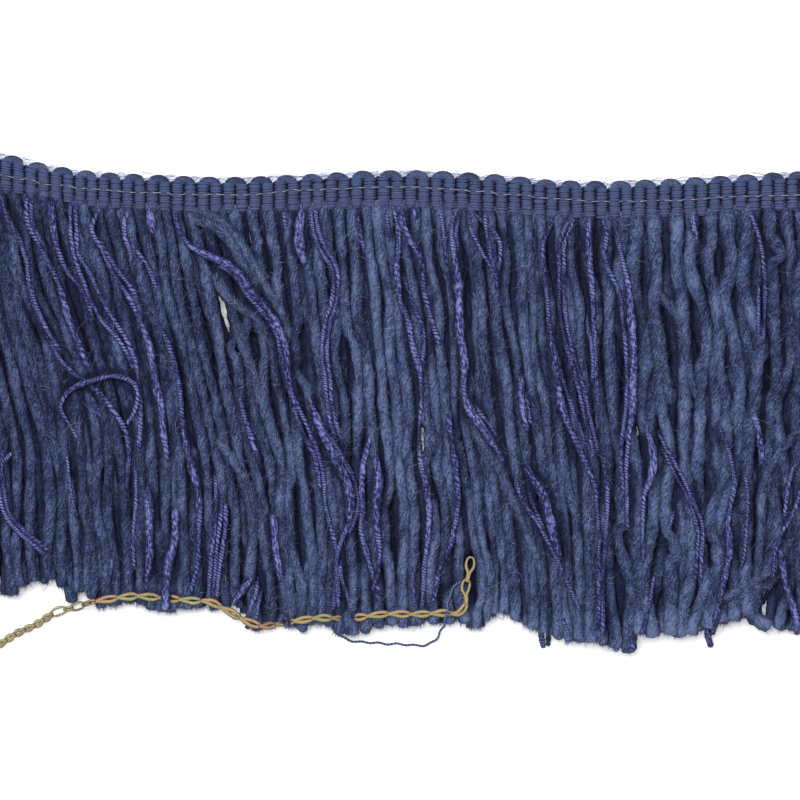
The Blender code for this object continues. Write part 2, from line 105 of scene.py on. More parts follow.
# Strands of roving that stand out because they cross the others, on top of the front layer
SWEEPS = (  # ends as for the yarns, radius, then x and y
    ("hu", 1.5, (-52.5, 47), (-48.5, 46), (-44.5, 43.8), (-41, 40.8), (-38.5, 37), (-36.2, 32.5), (-33.5, 28),
     (-30.5, 23.5), (-28.5, 18), (-27.3, 12)),
    ("hu", 1.4, (-50.5, 45), (-46.5, 43.3), (-43, 40.5), (-40.8, 36.8), (-38.5, 32.5), (-36, 28.5),
     (-33, 25)),
    ("uu", 1.4, (-47.2, 33.5), (-45, 29), (-42.3, 25), (-38.5, 22.3), (-35, 19.8), (-32.8, 16.5),
     (-31.3, 12), (-30.8, 6), (-30, -1)),
    ("uu", 1.35, (-41.8, 21), (-39.6, 15.5), (-37.8, 9.8), (-35.8, 4.5), (-34.8, -3)),
    ("uu", 1.45, (62.4, 23), (64.2, 17.5), (65.2, 10.5), (66.6, 3.5), (68.6, -3)),
    ("uu", 1.25, (63.2, 27.5), (66.5, 24.3), (69.6, 20), (70.8, 13), (72.3, 5.5), (75, -2)),
    ("uu", 1.3, (102, -6), (97.5, -9.8), (92.8, -15.5), (90.4, -22), (90, -31), (89.2, -42), (88.6, -52)),
    ("uf", 1.3, (98.5, -32), (94.5, -39.5), (90.5, -43.8), (85.5, -46.8), (80.3, -49.8)),
    ("uf", 1.1, (99.5, -35), (95.5, -42), (91, -46.2), (86, -49), (82, -51.3)),
    ("uu", 1.35, (15.5, -2), (19.5, -9), (24, -16.5), (27.8, -24), (31.5, -33), (34.8, -41), (36, -49)),
    ("uu", 1.3, (-47, -8), (-42.8, -13.5), (-38.8, -19.5), (-35.8, -26.5), (-34, -35), (-33, -45)),
)

# Violet yarns: from the heading (h), out of or into the wool (u), or with a free end (f)
YARNS = (  # ends, number of threads side by side, then x, y and width at each point
    ("hf", 1, (-99.5, 52, 1.3), (-98.8, 47.8, 1.3), (-95.3, 41, 1.3), (-93, 34.8, 1.3), (-92.3, 28.3, 1.2),
     (-90.5, 22, 1.2), (-87.5, 15.3, 1.2), (-85, 10.5, 1.2), (-81.5, 6.8, 1.3), (-75.8, 2.5, 1.4),
     (-72.3, -1.5, 1.4), (-68.8, -6.8, 1.3), (-67.5, -12, 1.3), (-67.8, -18.5, 1.3), (-68, -24.5, 1.2)),
    ("uu", 1, (-92.5, 31.3, 1.2), (-91.1, 25, 1.2), (-89.1, 20, 1.2), (-86, 14.5, 1.2), (-83, 10, 1.2)),
    ("uu", 1, (-78, 3.4, 1.1), (-75.8, -1.3, 1.2), (-74.3, -4.5, 1.2), (-72.5, -6.6, 1.1)),
    ("hu", 1, (-93.3, 50, 1.2), (-92.8, 44.5, 1.3), (-89.5, 38, 1.2), (-86, 31.3, 1.3), (-84, 25.8, 1.7),
     (-82.3, 19.5, 1.8), (-80.3, 15, 1.7), (-78.3, 9.5, 1.7), (-77, 5.8, 1.6)),
    ("hu", 1, (-92, 49.5, 1.1), (-91.6, 44.5, 1.1), (-88.6, 38.5, 1.1), (-86.6, 35, 1.1)),
    ("hu", 1, (-87, 49.5, 2.0), (-86.5, 43.8, 2.0), (-85, 37, 1.4), (-82.8, 31.8, 1.1), (-80.3, 28.8, 1.0),
     (-77.8, 24.3, 1.0), (-76, 17.8, 1.0)),
    ("hu", 1, (-81, 49, 1.2), (-80.6, 42, 1.2), (-80, 36.3, 1.2), (-77.8, 32.5, 1.2), (-73.3, 23, 1.2),
     (-67.8, 14.3, 1.2), (-66, 10, 1.2), (-65.1, 4.5, 1.2), (-64.6, -1, 1.3), (-65.2, -15.3, 1.2)),
    ("hu", 1, (-82.4, 49, 1.0), (-81.9, 40, 1.1), (-80.7, 34.5, 1.1), (-79, 30, 1.1), (-74.7, 20.5, 1.1),
     (-69.2, 13.8, 1.1), (-66.6, 8.5, 1.1), (-65.9, 5, 1.1)),
    ("hu", 1, (-74.3, 48.5, 1.3), (-76.8, 42.3, 1.2), (-75, 38.8, 1.2), (-70.5, 30, 1.2), (-67.5, 25.5, 1.3),
     (-64.3, 18.8, 1.4), (-62.5, 13.8, 1.9), (-61.3, 7.5, 2.1), (-60.5, 2.5, 2.1), (-59.5, -1, 2.1),
     (-59, -7.5, 1.9), (-58, -13.8, 1.3), (-57.8, -17.5, 1.1)),
    ("uu", 1, (-75.5, 41.5, 1.1), (-72.8, 36.3, 1.1), (-70, 32, 1.1), (-66.3, 27, 1.1), (-64.3, 22.5, 1.1)),
    ("hu", 1, (-67.6, 48.5, 1.3), (-68.8, 42.8, 1.4), (-68.3, 40, 1.3), (-67.3, 37.3, 1.1), (-66.8, 31, 1.1)),
    ("uu", 1, (-67.6, 39.5, 1.1), (-65.5, 37, 1.1), (-63.5, 34.5, 1.1), (-60.8, 28, 1.1), (-60, 24.5, 1.0)),
    ("hu", 1, (-62.7, 48.6, 2.1), (-61.8, 43, 2.1), (-60.8, 39.5, 1.6)),
    ("uf", 1, (-61.8, 19.5, 1.2), (-59.5, 17.3, 1.2), (-56.8, 11.3, 1.2), (-54.8, 2.5, 1.3), (-54, -6.3, 1.3),
     (-53.2, -11.5, 1.8), (-52, -16.3, 2.1), (-50.5, -21.3, 2.1), (-50, -26.5, 1.8), (-50, -32.5, 1.3),
     (-50.3, -40, 1.3), (-51.3, -45, 1.2), (-52.5, -49, 1.2)),
    ("hf", 1, (-56.3, 48, 1.3), (-56, 45.3, 1.3), (-55, 42, 1.3), (-53, 39, 1.3), (-51, 37.5, 1.6),
     (-46.8, 35.5, 2.0), (-42.5, 33.5, 2.3), (-40, 31.3, 2.4), (-37.5, 27.5, 2.4), (-34.5, 24.3, 2.3),
     (-31.8, 20.5, 2.3), (-29.8, 16.8, 2.3), (-28.8, 13.8, 2.3), (-28, 5, 2.3), (-26.8, 0.8, 1.7),
     (-23.8, -5, 1.2), (-19.8, -15.5, 1.2), (-18.8, -21.3, 1.2), (-18.5, -26.3, 1.2), (-17.3, -31.3, 1.2),
     (-15.8, -37.5, 1.2), (-16.3, -45, 1.2), (-16.3, -51.5, 1.2)),
    ("uu", 1, (-27.6, 0.5, 1.1), (-25.4, -5, 1.1), (-23.4, -10, 1.2), (-21.4, -13.8, 1.2),
     (-20.3, -18.8, 1.2), (-19.6, -25, 1.1)),
    ("uu", 1, (-47.4, 34.4, 1.0), (-43.2, 32.4, 1.1), (-40.7, 30.2, 1.2), (-38.3, 26.5, 1.2),
     (-35.4, 23.2, 1.2), (-32.7, 19.8, 1.2), (-30.8, 16.2, 1.1), (-29.9, 13.2, 1.1), (-29.1, 6, 1.0)),
    ("hu", 1, (-24.2, 49, 2.0), (-24.6, 46.5, 2.2), (-25, 43.5, 2.5), (-24.8, 37.5, 2.5), (-24, 35, 1.9),
     (-22.5, 31.5, 1.3)),
    ("hu", 2, (-21.8, 49, 1.1), (-21.3, 43.8, 1.1), (-20.3, 40, 1.1), (-18.5, 36.3, 1.1), (-16.8, 33.8, 1.1),
     (-16, 30.5, 1.1), (-16, 27, 1.1), (-16.8, 23, 1.1), (-17.8, 20, 1.1), (-18.5, 16.3, 1.0),
     (-18.8, 12.5, 1.1), (-18, 5, 1.1), (-17.3, -2.5, 1.1), (-15.3, -10, 1.1), (-14.3, -14, 1.0)),
    ("uf", 1, (-23.8, 3.8, 1.3), (-22.5, 0, 1.4), (-21, -3.8, 1.8), (-19.5, -7.5, 2.4), (-17, -12.5, 2.6),
     (-14.5, -17.5, 2.6), (-12.7, -22.5, 2.6), (-12.3, -27.5, 2.5), (-12.6, -30.5, 1.8), (-14.5, -35, 1.2),
     (-15.5, -38, 1.2), (-15.5, -46.3, 1.2), (-15.3, -51.5, 1.2)),
    ("uu", 1, (-18.8, -7, 1.0), (-14.1, -14.5, 1.1), (-11, -21.3, 1.1), (-10.3, -25, 1.1),
     (-10.8, -28.8, 1.1), (-12.2, -32, 1.1), (-14, -35.5, 1.1)),
    ("uf", 1, (-15, -38.4, 1.0), (-14.6, -43.8, 1.1), (-13.6, -47.5, 1.1), (-12.4, -51, 1.0),
     (-11, -54.5, 1.0)),
    ("uf", 1, (-6.5, -7, 1.3), (-7.5, -10, 1.4), (-9.3, -17.5, 1.7), (-9.5, -22.5, 1.7), (-9.3, -27.5, 1.4),
     (-9.8, -31.3, 1.2), (-8.8, -36.3, 1.6), (-6.8, -43.5, 1.3), (-5.3, -47.8, 1.2)),
    ("uf", 1, (-8.5, -45.8, 1.0), (-6.5, -48, 1.1), (-4.5, -50.3, 1.1)),
    ("uf", 1, (-7.5, -12, 1.4), (-6, -15.3, 2.0), (-5.4, -19, 2.3), (-5.8, -26.3, 2.3), (-5.5, -33.8, 1.5),
     (-5, -37.5, 1.3), (-5.3, -41.3, 1.2), (-6, -45, 1.1), (-6.7, -47.3, 1.1)),
    ("hu", 1, (-10.8, 49.2, 1.3), (-10.5, 45, 1.3), (-9.8, 40.8, 1.3), (-9, 37.5, 1.2), (-9.3, 34, 1.1)),
    ("hu", 1, (-3.9, 49.5, 1.1), (-3, 43.8, 1.2), (-2.3, 40, 1.1), (-1.3, 36, 1.0)),
    ("hf", 1, (-2.7, 49.5, 1.2), (-0.8, 45, 1.4), (-0.3, 41.3, 1.5), (-0.3, 37.5, 1.4), (-0.8, 33.8, 1.6),
     (-0.5, 28.8, 1.5), (0, 25, 1.5), (1.5, 21.3, 1.4), (3.3, 13, 1.7), (5.3, 5, 1.5), (5.4, 1.3, 1.1),
     (4.8, -7.5, 1.1), (5.3, -16.3, 1.5), (6.3, -20, 1.7), (7, -25, 1.8), (7.3, -30, 1.7), (7, -33.8, 1.5),
     (6.5, -37.5, 1.3), (6, -42.5, 1.2), (5.8, -47.5, 1.3), (5.5, -51.8, 1.3)),
    ("uu", 1, (-0.1, 33, 1.1), (1.5, 28.8, 1.1), (4.3, 21.3, 1.1), (5.5, 18.8, 1.1), (6, 15.5, 1.1),
     (5.8, 11.3, 1.1), (5.2, 7, 1.0)),
    ("hu", 1, (0.4, 49.5, 1.7), (0.8, 43.8, 1.8), (2.5, 40, 1.6), (4.3, 37, 1.6), (5.3, 34.5, 1.6),
     (5.8, 31.3, 1.5), (6, 27.5, 1.4), (6.8, 23.8, 1.3), (7.8, 20, 1.3), (9.8, 13.8, 1.2), (10.3, 10.5, 1.1)),
    ("hu", 1, (3.2, 49.3, 1.8), (3.4, 46, 1.9), (3.6, 42, 1.6)),
    ("hu", 1, (9.9, 49.5, 1.0), (10.4, 45, 1.1), (11, 40.5, 1.1), (11.8, 33.8, 1.1), (12.3, 30.8, 1.0)),
    ("hu", 1, (15, 49, 1.2), (13, 44.5, 1.2), (12.8, 41.3, 1.2), (13.3, 37.5, 1.5), (13.9, 33.5, 1.8),
     (14.3, 30, 2.3), (14.8, 23.8, 2.2), (15, 16.3, 2.3), (16.1, 9.5, 2.2), (16, 3.8, 1.5), (16.3, 0.5, 1.8),
     (17.5, -2.5, 2.4), (19.5, -5.5, 2.4), (21.8, -8.8, 2.2), (23.8, -12, 1.4), (25.5, -15, 1.2),
     (27, -18, 1.1)),
    ("hu", 1, (16.2, 48.8, 1.1), (14.4, 44.5, 1.1), (14, 41.3, 1.1), (14.3, 38, 1.1), (14.8, 35, 1.1)),
    ("uu", 1, (17.7, 0.6, 1.0), (19.8, -3, 1.0), (22, -5.8, 1.0), (23.7, -8.6, 1.0), (25.2, -11.8, 1.0)),
    ("hu", 1, (16.6, 48.6, 1.0), (17.5, 43, 1.0), (20, 37.5, 1.0), (22.5, 33.3, 1.0), (23.8, 30.5, 1.0),
     (23.8, 24.3, 0.9)),
    ("hu", 1, (16.2, 48, 1.2), (19.5, 45.5, 1.3), (23.5, 41.5, 1.3), (24.8, 39.3, 1.3), (25, 36.3, 1.2),
     (24.3, 29.8, 1.0)),
    ("hu", 1, (21.2, 48, 1.2), (21.5, 43, 1.2), (22, 40, 1.1), (23, 32, 0.9)),
    ("hf", 1, (38.3, 47, 1.1), (37.3, 42.5, 1.2), (36, 40.5, 1.2), (35.8, 34.5, 1.2), (36.8, 23.8, 1.2),
     (37.5, 16.3, 1.4), (38.8, 10, 2.1), (39.3, 3.8, 2.1), (40.5, -2, 2.1), (41.5, -5, 1.7),
     (44.5, -11.8, 1.6), (47, -17.5, 1.4), (48.3, -20.5, 1.2), (49, -27.5, 1.2), (49.5, -35, 1.2),
     (49.5, -45, 1.3), (49.5, -57.5, 1.3)),
    ("uu", 1, (38.9, 10.3, 1.0), (41.7, 1.3, 1.0), (44.6, -6.3, 1.0), (47.3, -14, 1.0)),
    ("hu", 2, (43.3, 46.3, 1.0), (41.5, 42, 1.1), (40.5, 39.3, 1.1), (40.3, 32.5, 1.1), (40.5, 22.5, 1.1),
     (42, 13.8, 1.1), (44.3, 6.3, 1.1), (46.8, -5, 1.1), (48.5, -12, 1.1), (49.4, -16, 1.0)),
    ("hu", 1, (47.3, 47, 1.6), (47, 42, 1.8), (47.3, 34.5, 1.7), (48, 26.3, 1.3), (48.3, 18.8, 1.2),
     (48.8, 10, 1.1), (49.5, -4.5, 1.0)),
    ("uu", 1, (47, 24.4, 1.0), (46.7, 20, 1.0), (47.8, 12.5, 1.0), (48, 2, 1.0)),
    ("hu", 1, (49.8, 47, 1.1), (51.3, 42.5, 1.2), (51.3, 38.8, 1.2), (50.8, 36.3, 1.2), (51.5, 33.5, 1.2),
     (54.3, 27.5, 1.2), (56, 20, 1.0)),
    ("hu", 1, (53.1, 47, 1.2), (54, 41.3, 1.2), (55.5, 34.5, 1.2), (57, 27.5, 1.6), (57.5, 20, 2.3),
     (58.2, 14, 1.6), (58.2, 8.5, 1.6), (58, 4, 2.2), (57.9, -2.5, 2.1), (57, -10, 1.2), (56.4, -17.5, 1.2),
     (56.5, -22.5, 1.1), (56.8, -35, 1.0)),
    ("uu", 1, (54.6, 26, 1.0), (55.6, 19, 1.1), (56.5, 7.5, 1.1), (56.2, -2.5, 1.1), (55.3, -10, 1.1),
     (55.1, -18, 1.1), (56, -26, 1.0)),
    ("uf", 1, (50, -9.5, 1.1), (50.5, -13.8, 1.2), (51.6, -22.5, 1.2), (51.4, -32.5, 1.1), (50.6, -43.8, 1.1),
     (50.5, -58.8, 1.2)),
    ("hu", 1, (73, 47.3, 1.8), (73.3, 42.5, 1.7), (74.8, 37, 1.1)),
    ("hu", 1, (86.6, 48.8, 1.1), (88.3, 44.3, 1.1), (89.3, 41.3, 1.1), (90.5, 34.5, 1.1), (90.9, 22.5, 1.1),
     (90.4, 15, 1.0), (89.8, 11, 1.0)),
    ("uu", 1, (89.5, 31.8, 1.0), (89.2, 21.3, 1.0), (89.2, 17.5, 1.0), (90, 13.4, 1.0)),
    ("hu", 1, (97.9, 50.5, 2.0), (99, 47.5, 2.0), (100.2, 43.8, 2.0), (101.5, 38.8, 1.4)),
    ("uu", 1, (61.2, -5.5, 1.2), (62, -8.8, 1.6), (62.8, -12.5, 2.2), (63, -16.3, 2.2), (62.3, -20, 2.1),
     (61.2, -22.5, 1.4), (60.5, -30, 1.1), (60.5, -35, 1.1), (60.8, -44, 1.1)),
    ("uu", 1, (63.3, -6, 1.1), (67, -13.3, 1.1), (70.8, -20, 1.1), (73.6, -26.8, 1.1), (75, -30, 1.1),
     (75.5, -33.8, 1.1), (75.2, -37.5, 1.1), (74.7, -48.3, 1.1)),
    ("uu", 1, (64.3, -10.3, 1.0), (68, -17.5, 1.0), (71.6, -24.3, 1.0), (73.2, -29, 1.0), (74.2, -33.5, 1.0),
     (74, -38, 1.0), (73.5, -47.5, 1.0)),
    ("uf", 1, (78.6, -3.4, 1.1), (79.8, -7, 1.2), (81, -10.5, 1.2), (83, -17.5, 1.2), (83.3, -20.5, 1.2),
     (82, -27.5, 1.5), (81.8, -33, 1.9), (82, -38.8, 2.0), (81.3, -41.8, 1.8), (80, -47.5, 1.6),
     (78.5, -55, 1.5), (78, -58.5, 1.4)),
    ("uu", 1, (85.3, -15.5, 0.9), (86.5, -22.5, 1.0), (86.3, -30, 1.0), (85.3, -41.3, 1.0), (84.4, -45, 1.0)),
    ("uu", 1, (86.5, -1.2, 1.6), (88.3, -4.5, 1.7), (89.8, -11.3, 1.7), (90.1, -18, 1.4)),
    ("uu", 1, (99.9, -12.8, 1.0), (97.5, -18, 1.0), (96.3, -24.3, 1.1), (95.5, -31.8, 1.0)),
    ("uu", 1, (100.8, -16, 1.3), (98.3, -27.5, 1.3), (95, -33, 1.3), (93.2, -35.6, 1.2)),
    ("uf", 1, (94.2, -34.5, 1.4), (95.5, -42, 1.9), (97, -48.8, 1.9), (98.8, -55, 1.8), (99.1, -58.5, 1.6)),
    ("uu", 1, (95.2, -33.2, 1.0), (93.8, -36.3, 1.1), (92.8, -43.8, 1.1), (90.6, -51, 1.0)),
    ("uf", 1, (64.4, -40, 1.0), (63.3, -43.8, 1.0), (62, -51.3, 1.0), (60, -58.5, 1.0)),
    ("uu", 1, (68, -25.2, 1.0), (68, -28, 1.0), (66.1, -34.3, 1.0)),
    ("uf", 1, (11.8, -0.5, 1.4), (12.5, -8, 1.5), (13.5, -14.5, 1.6), (14.4, -22.5, 1.6), (13.8, -30, 1.6),
     (12.5, -36.3, 1.5), (10, -41.8, 1.3), (8.5, -48.8, 1.3), (7.5, -51.5, 1.2)),
    ("uu", 1, (30.2, 8.4, 1.7), (30.3, 0, 1.8), (30.8, -3.8, 1.7), (32.8, -10.4, 1.1)),
    ("uu", 1, (31.3, 4.3, 1.1), (32.2, -3.8, 1.1), (33, -8.5, 1.0)),
    ("uf", 1, (29.8, -15.8, 1.0), (29, -19.5, 1.1), (30.8, -25.5, 1.2), (34.5, -31, 1.3), (37.8, -37, 1.2),
     (40.5, -42.8, 1.1)),
    ("uu", 1, (31.2, -19.6, 1.0), (33, -25.5, 1.1), (35.5, -31.3, 1.1), (37.2, -35, 1.0)),
    ("uu", 1, (30.2, -14.6, 1.7), (31.8, -17.5, 2.1), (35.3, -23, 2.5), (37.3, -29.5, 2.5),
     (38.8, -35.8, 2.3), (40.6, -41.6, 1.4)),
    ("uf", 1, (40, -41.6, 1.0), (41.5, -45, 1.0), (43.8, -50, 1.0), (45, -52.5, 1.0)),
    ("uf", 1, (39.3, -51, 0.9), (40.5, -54.5, 0.9), (42.3, -58.8, 0.9)),
    ("uf", 1, (3.2, -39.5, 1.0), (3.3, -47.5, 1.1), (3.8, -52, 1.1)),
    ("uf", 1, (-46.3, -17, 1.1), (-45.8, -22.5, 1.2), (-45.8, -27.5, 1.2), (-46.8, -37.5, 1.2),
     (-47.8, -49.6, 1.2)),
    ("uf", 1, (-44.9, -20.8, 1.1), (-44.5, -25, 1.2), (-45.5, -36.3, 1.1), (-46.6, -49, 1.1)),
    ("uf", 1, (-44.2, -23.4, 1.1), (-43.4, -27.5, 1.2), (-43.6, -32.5, 1.2), (-45, -42.5, 1.2),
     (-45.6, -48.8, 1.2)),
    ("uu", 1, (-32.4, -26.5, 1.6), (-31.5, -30, 1.9), (-31, -37, 1.9), (-29.8, -43.8, 1.7),
     (-28.9, -48, 1.2)),
    ("uf", 1, (-35.3, -42, 1.5), (-37, -44.5, 1.7), (-40.5, -49.3, 1.7), (-41.6, -51, 1.5)),
    ("uf", 1, (-35.7, -43, 1.1), (-35.8, -47.5, 1.2), (-37.8, -53.8, 1.2), (-38, -57.2, 1.2)),
    ("uf", 1, (-34.4, -45, 1.1), (-35.6, -53, 1.1), (-36.3, -57.4, 1.1)),
    ("uu", 1, (-40, 4.3, 1.2), (-39.8, 0.5, 1.3), (-38, -6.3, 1.4), (-36, -12.5, 1.3), (-34.4, -16.2, 1.0)),
    ("uf", 1, (-56, -24.6, 1.8), (-56, -33.8, 2.1), (-56.5, -37, 2.3), (-57.5, -40, 2.3), (-58, -43.8, 2.3),
     (-58.5, -52.5, 2.1)),
    ("uf", 1, (-64.5, -19.6, 1.3), (-62.8, -26.3, 1.8), (-62.3, -33.8, 2.1), (-62.5, -41.3, 1.9),
     (-63.3, -47.8, 1.3)),
    ("uu", 1, (-64.2, -19, 1.0), (-62.5, -23, 1.0), (-61.3, -31.8, 1.0)),
    ("uu", 1, (-66, -14.5, 0.9), (-65.7, -25, 1.0), (-66.5, -35, 1.0), (-66, -44.6, 0.9)),
    ("uu", 1, (-72, -36.6, 0.9), (-71.8, -40, 1.0), (-73, -48, 1.0)),
    ("uu", 1, (-50.5, -39.6, 0.9), (-51.8, -48, 0.9)),
    ("uu", 1, (-83.5, -10.8, 0.8), (-82.8, -15, 0.8), (-82, -22.5, 0.8), (-80, -31, 0.8)),
    ("uf", 1, (-103.5, -18.2, 1.2), (-100.6, -16.2, 1.2), (-98.3, -14.8, 1.2), (-96.8, -13.2, 1.1)),
    ("uf", 2, (-99.6, -9.5, 1.0), (-99.3, -22.5, 1.1), (-97.8, -28.3, 1.1), (-94, -33, 1.1),
     (-89.5, -36.8, 1.1), (-88, -38.2, 1.0)),
    ("hu", 1, (-36.3, 48.4, 1.1), (-35.5, 42, 1.0)),
    ("hu", 1, (-29.4, 49, 1.2), (-28.6, 44, 1.2), (-27.8, 39.5, 1.0)),
    ("uf", 1, (35.2, -57, 1.3), (35.4, -59.6, 1.4), (35.9, -62, 1.4)),
    ("uf", 1, (37.1, -57, 1.2), (37, -61.5, 1.3)),
    ("uf", 1, (52.8, -58, 1.4), (54, -62.6, 1.4)),
    ("uf", 1, (58, -58, 1.3), (58, -62.5, 1.4)),
    ("uf", 1, (76.5, -54.6, 1.4), (77, -59.3, 1.6), (77.8, -61.8, 1.7)),
)
BOW = (  # the yarn that curls back over its neighbours: x, y, width
    (-68, -6, 0.9), (-66.5, -3.8, 1.1), (-65.5, -1.3, 1.3), (-65.3, 1.5, 1.3), (-66, 3.8, 1.3),
    (-67.5, 5, 1.3), (-69.5, 5.8, 1.3), (-72, 6, 1.3), (-74.3, 5.5, 1.3), (-76, 5, 1.3),
    (-78.5, 4.3, 1.3), (-80.8, 3.3, 1.3), (-82.8, 1.8, 1.3), (-84, 0, 1.2), (-84.5, -2, 1.0),
    (-83.3, -4.5, 0.8), (-81.8, -7, 0.8), (-80.2, -9.8, 0.7),
)

# Chain stitch on the cut ends, its free tail and one loose thread: x, y, z of the middle
CHAIN = (
    (-76, -50.2, 4.3), (-71, -49.4, 4.3), (-66, -48.9, 4.3), (-60, -49.3, 4.3), (-52, -50, 4.3),
    (-47.5, -50.3, 4.3), (-43.5, -52.2, 4.3), (-38.5, -55, 4.3), (-34.2, -56.4, 4.1), (-31.3, -56, 1.9),
    (-28, -55.4, 1.9), (-25.3, -55, 4.1), (-20, -54.3, 4.3), (-16.8, -54.4, 4.1), (-14.4, -54.5, 2.3),
    (-12, -54.4, 2.3), (-9.6, -54.1, 4.1), (-4, -53.4, 4.3), (4, -53.4, 4.3), (11, -53.1, 4.3),
    (15, -53, 4.4), (16.4, -51, 4.5), (16.3, -47, 4.7), (17.2, -43, 4.9), (17.7, -39.2, 5.1),
)
CHAIN_COVERED = ((-32.2, -26.6), (-15.8, -10.4))        # spans of x where cut ends lie over the chain
YARN_CROSSING = (-58.5, -50)    # where one yarn lies over the chain
CROSSING_REACH = 2
NECK = ((-78.3, -50.8, 4.0), (-77, -50.4, 4.2), (-75, -50.0, 4.3))      # small loops where the tail begins
NECK_LENGTH = 2.0
OPEN_STRETCH = 12.0             # length at the chain's right end where its loops are wide open
TAIL = (
    (-77.2, -50.5, 4.3), (-79.5, -51.2, 3.0), (-82, -51.9, 1.4), (-85.5, -52.8, 0.82), (-90.8, -56, 0.82),
    (-96.5, -58.7, 0.82), (-100, -61, 0.82), (-105, -63.6, 0.82), (-110.5, -66, 0.82),
)
THREAD = (
    (-16.6, -57.5, 0.5), (-15, -58.7, 0.3), (-13.2, -59.7, 0.3), (-11, -60.4, 0.3), (-6, -60.8, 0.3),
    (0, -60.9, 0.3), (4.2, -61.5, 0.3), (6.6, -61.3, 0.35), (8.4, -60.2, 0.7), (9.9, -58, 1.8),
    (11.2, -55.7, 4.2), (11.8, -53.3, 5.75), (11.9, -50.8, 5.3), (12.5, -48, 4.5), (13.8, -46.2, 4.4),
    (15.2, -45.2, 4.4),
)


# Curves and smooth tables
def smooth_table(at, knots, values):
    """A smooth curve through a table's values, straight on past its ends. values may have several columns."""
    at = np.asarray(at, float)
    knots = np.asarray(knots, float)
    values = np.asarray(values, float)
    slopes = np.gradient(values, knots, axis=0)
    k = np.clip(np.searchsorted(knots, at) - 1, 0, len(knots) - 2)
    width = knots[k + 1] - knots[k]
    t = np.clip((at - knots[k]) / width, 0, 1)
    beyond = at - np.clip(at, knots[0], knots[-1])
    shape = at.shape + (1,) * (values.ndim - 1)
    t, width, beyond = t.reshape(shape), width.reshape(shape), beyond.reshape(shape)
    low, high = values[k], values[k + 1]
    return (
        low * (1 + 2 * t) * (1 - t) ** 2 + high * t * t * (3 - 2 * t)
        + width * (slopes[k] * t * (1 - t) ** 2 - slopes[k + 1] * t * t * (1 - t))
        + beyond * np.where(beyond < 0, slopes[0], slopes[-1])
    )


def lengths(path):
    """Distance along a path at each of its points."""
    return np.concatenate([[0.0], np.cumsum(np.linalg.norm(np.diff(path, axis=0), axis=1))])


def even(points, step, columns=2):
    """A smooth curve through given points, in even steps. Extra columns, such as width, go with it."""
    points = np.asarray(points, float)
    knots = lengths(points[:, :columns])
    dense = smooth_table(np.linspace(0, knots[-1], int(knots[-1] / step * 4) + 8), knots, points)
    travelled = lengths(dense[:, :columns])
    stations = np.linspace(0, travelled[-1], max(3, int(round(travelled[-1] / step)) + 1))
    return np.stack([np.interp(stations, travelled, dense[:, c]) for c in range(points.shape[1])], axis=1)


def ease(value, start, end):
    """0 before start, 1 after end and smooth between."""
    t = np.clip((np.asarray(value, float) - start) / (end - start), 0, 1)
    return t * t * (3 - 2 * t)


def blur(values, reach):
    """A row of values, averaged over about reach points on either side."""
    half = max(1, int(round(3 * reach)))
    weights = np.exp(-0.5 * (np.arange(-half, half + 1) / reach) ** 2)
    padded = np.concatenate([np.full(half, values[0]), values, np.full(half, values[-1])])
    return np.convolve(padded, weights / weights.sum(), mode="valid")


def unit(vectors):
    """The vectors, each scaled to a length of 1."""
    return vectors / np.maximum(np.linalg.norm(vectors, axis=-1, keepdims=True), 1e-9)


def sideways(path):
    """Unit vectors to the right of a path's direction, level with the surface."""
    along = unit(np.gradient(path[:, :2], axis=0))
    return np.stack([along[:, 1], -along[:, 0]], axis=1)


def uncovered(line):
    """The points of a chain's line that lie on the wool or beside it."""
    covered = [(line[:, 0] > left) & (line[:, 0] < right) for left, right in CHAIN_COVERED]
    return line[~np.any(covered, axis=0)]


HEADING_X, HEADING_TOP, HEADING_LOW = np.array(HEADING).T
TIP_X, TIP_Y = np.array(TIPS).T
CHAIN_LINE = uncovered(even(CHAIN, 1.0, columns=3))
PINCH = 0.4                    # share of a strand's height that the chain takes where it crosses
PINCH_REACH = 2.2


def heading_top(x):
    """y of the heading's upper edge."""
    return smooth_table(x, HEADING_X, HEADING_TOP)


def heading_low(x):
    """y of the heading's lower edge, where the strands leave it."""
    return smooth_table(x, HEADING_X, HEADING_LOW)


def chain_pinch(x, y):
    """How far the chain stitch pinches the strands that it crosses."""
    near = np.full(len(x), np.inf)
    for point in CHAIN_LINE:
        near = np.minimum(near, (x - point[0]) ** 2 + (y - point[1]) ** 2)
    return PINCH * np.exp(-near / PINCH_REACH ** 2)


def squeezed(line, at_heading):
    """Share of a strand's full height: it is flatter where the heading or the chain holds it."""
    x, y = line[:, 0], line[:, 1]
    return (at_heading + (1 - at_heading) * ease(heading_low(x) - y, -0.5, 10)) * (1 - chain_pinch(x, y))


# Tubes and fibres gathered into meshes
LEAST_HEIGHT = 0.02             # no point lies closer to the surface
FIBRE_SIDES = 3
FIBRE_SHIFT = 3.7               # how far apart the fibres are in the uv map
TAPER = ((0, 0.2, 0.7, 1), (0.7, 1, 0.9, 0.35))         # share of a fibre's length, share of its radius there
LEANING_UP = UP + np.array([0.013, 0.007, 0.0])         # no straight fibre points exactly this way


def fibre_rings(middles, along, upright, radius):
    """Three-sided rings round the middles of fibres that run along a direction."""
    side = unit(np.cross(along, upright))
    up = np.cross(side, along)
    angle = (np.arange(FIBRE_SIDES) / FIBRE_SIDES * TURN + TURN / 4)[:, None]
    return middles[..., None, :] + radius[..., None, None] * (
        np.cos(angle) * side[..., None, :] + np.sin(angle) * up[..., None, :])


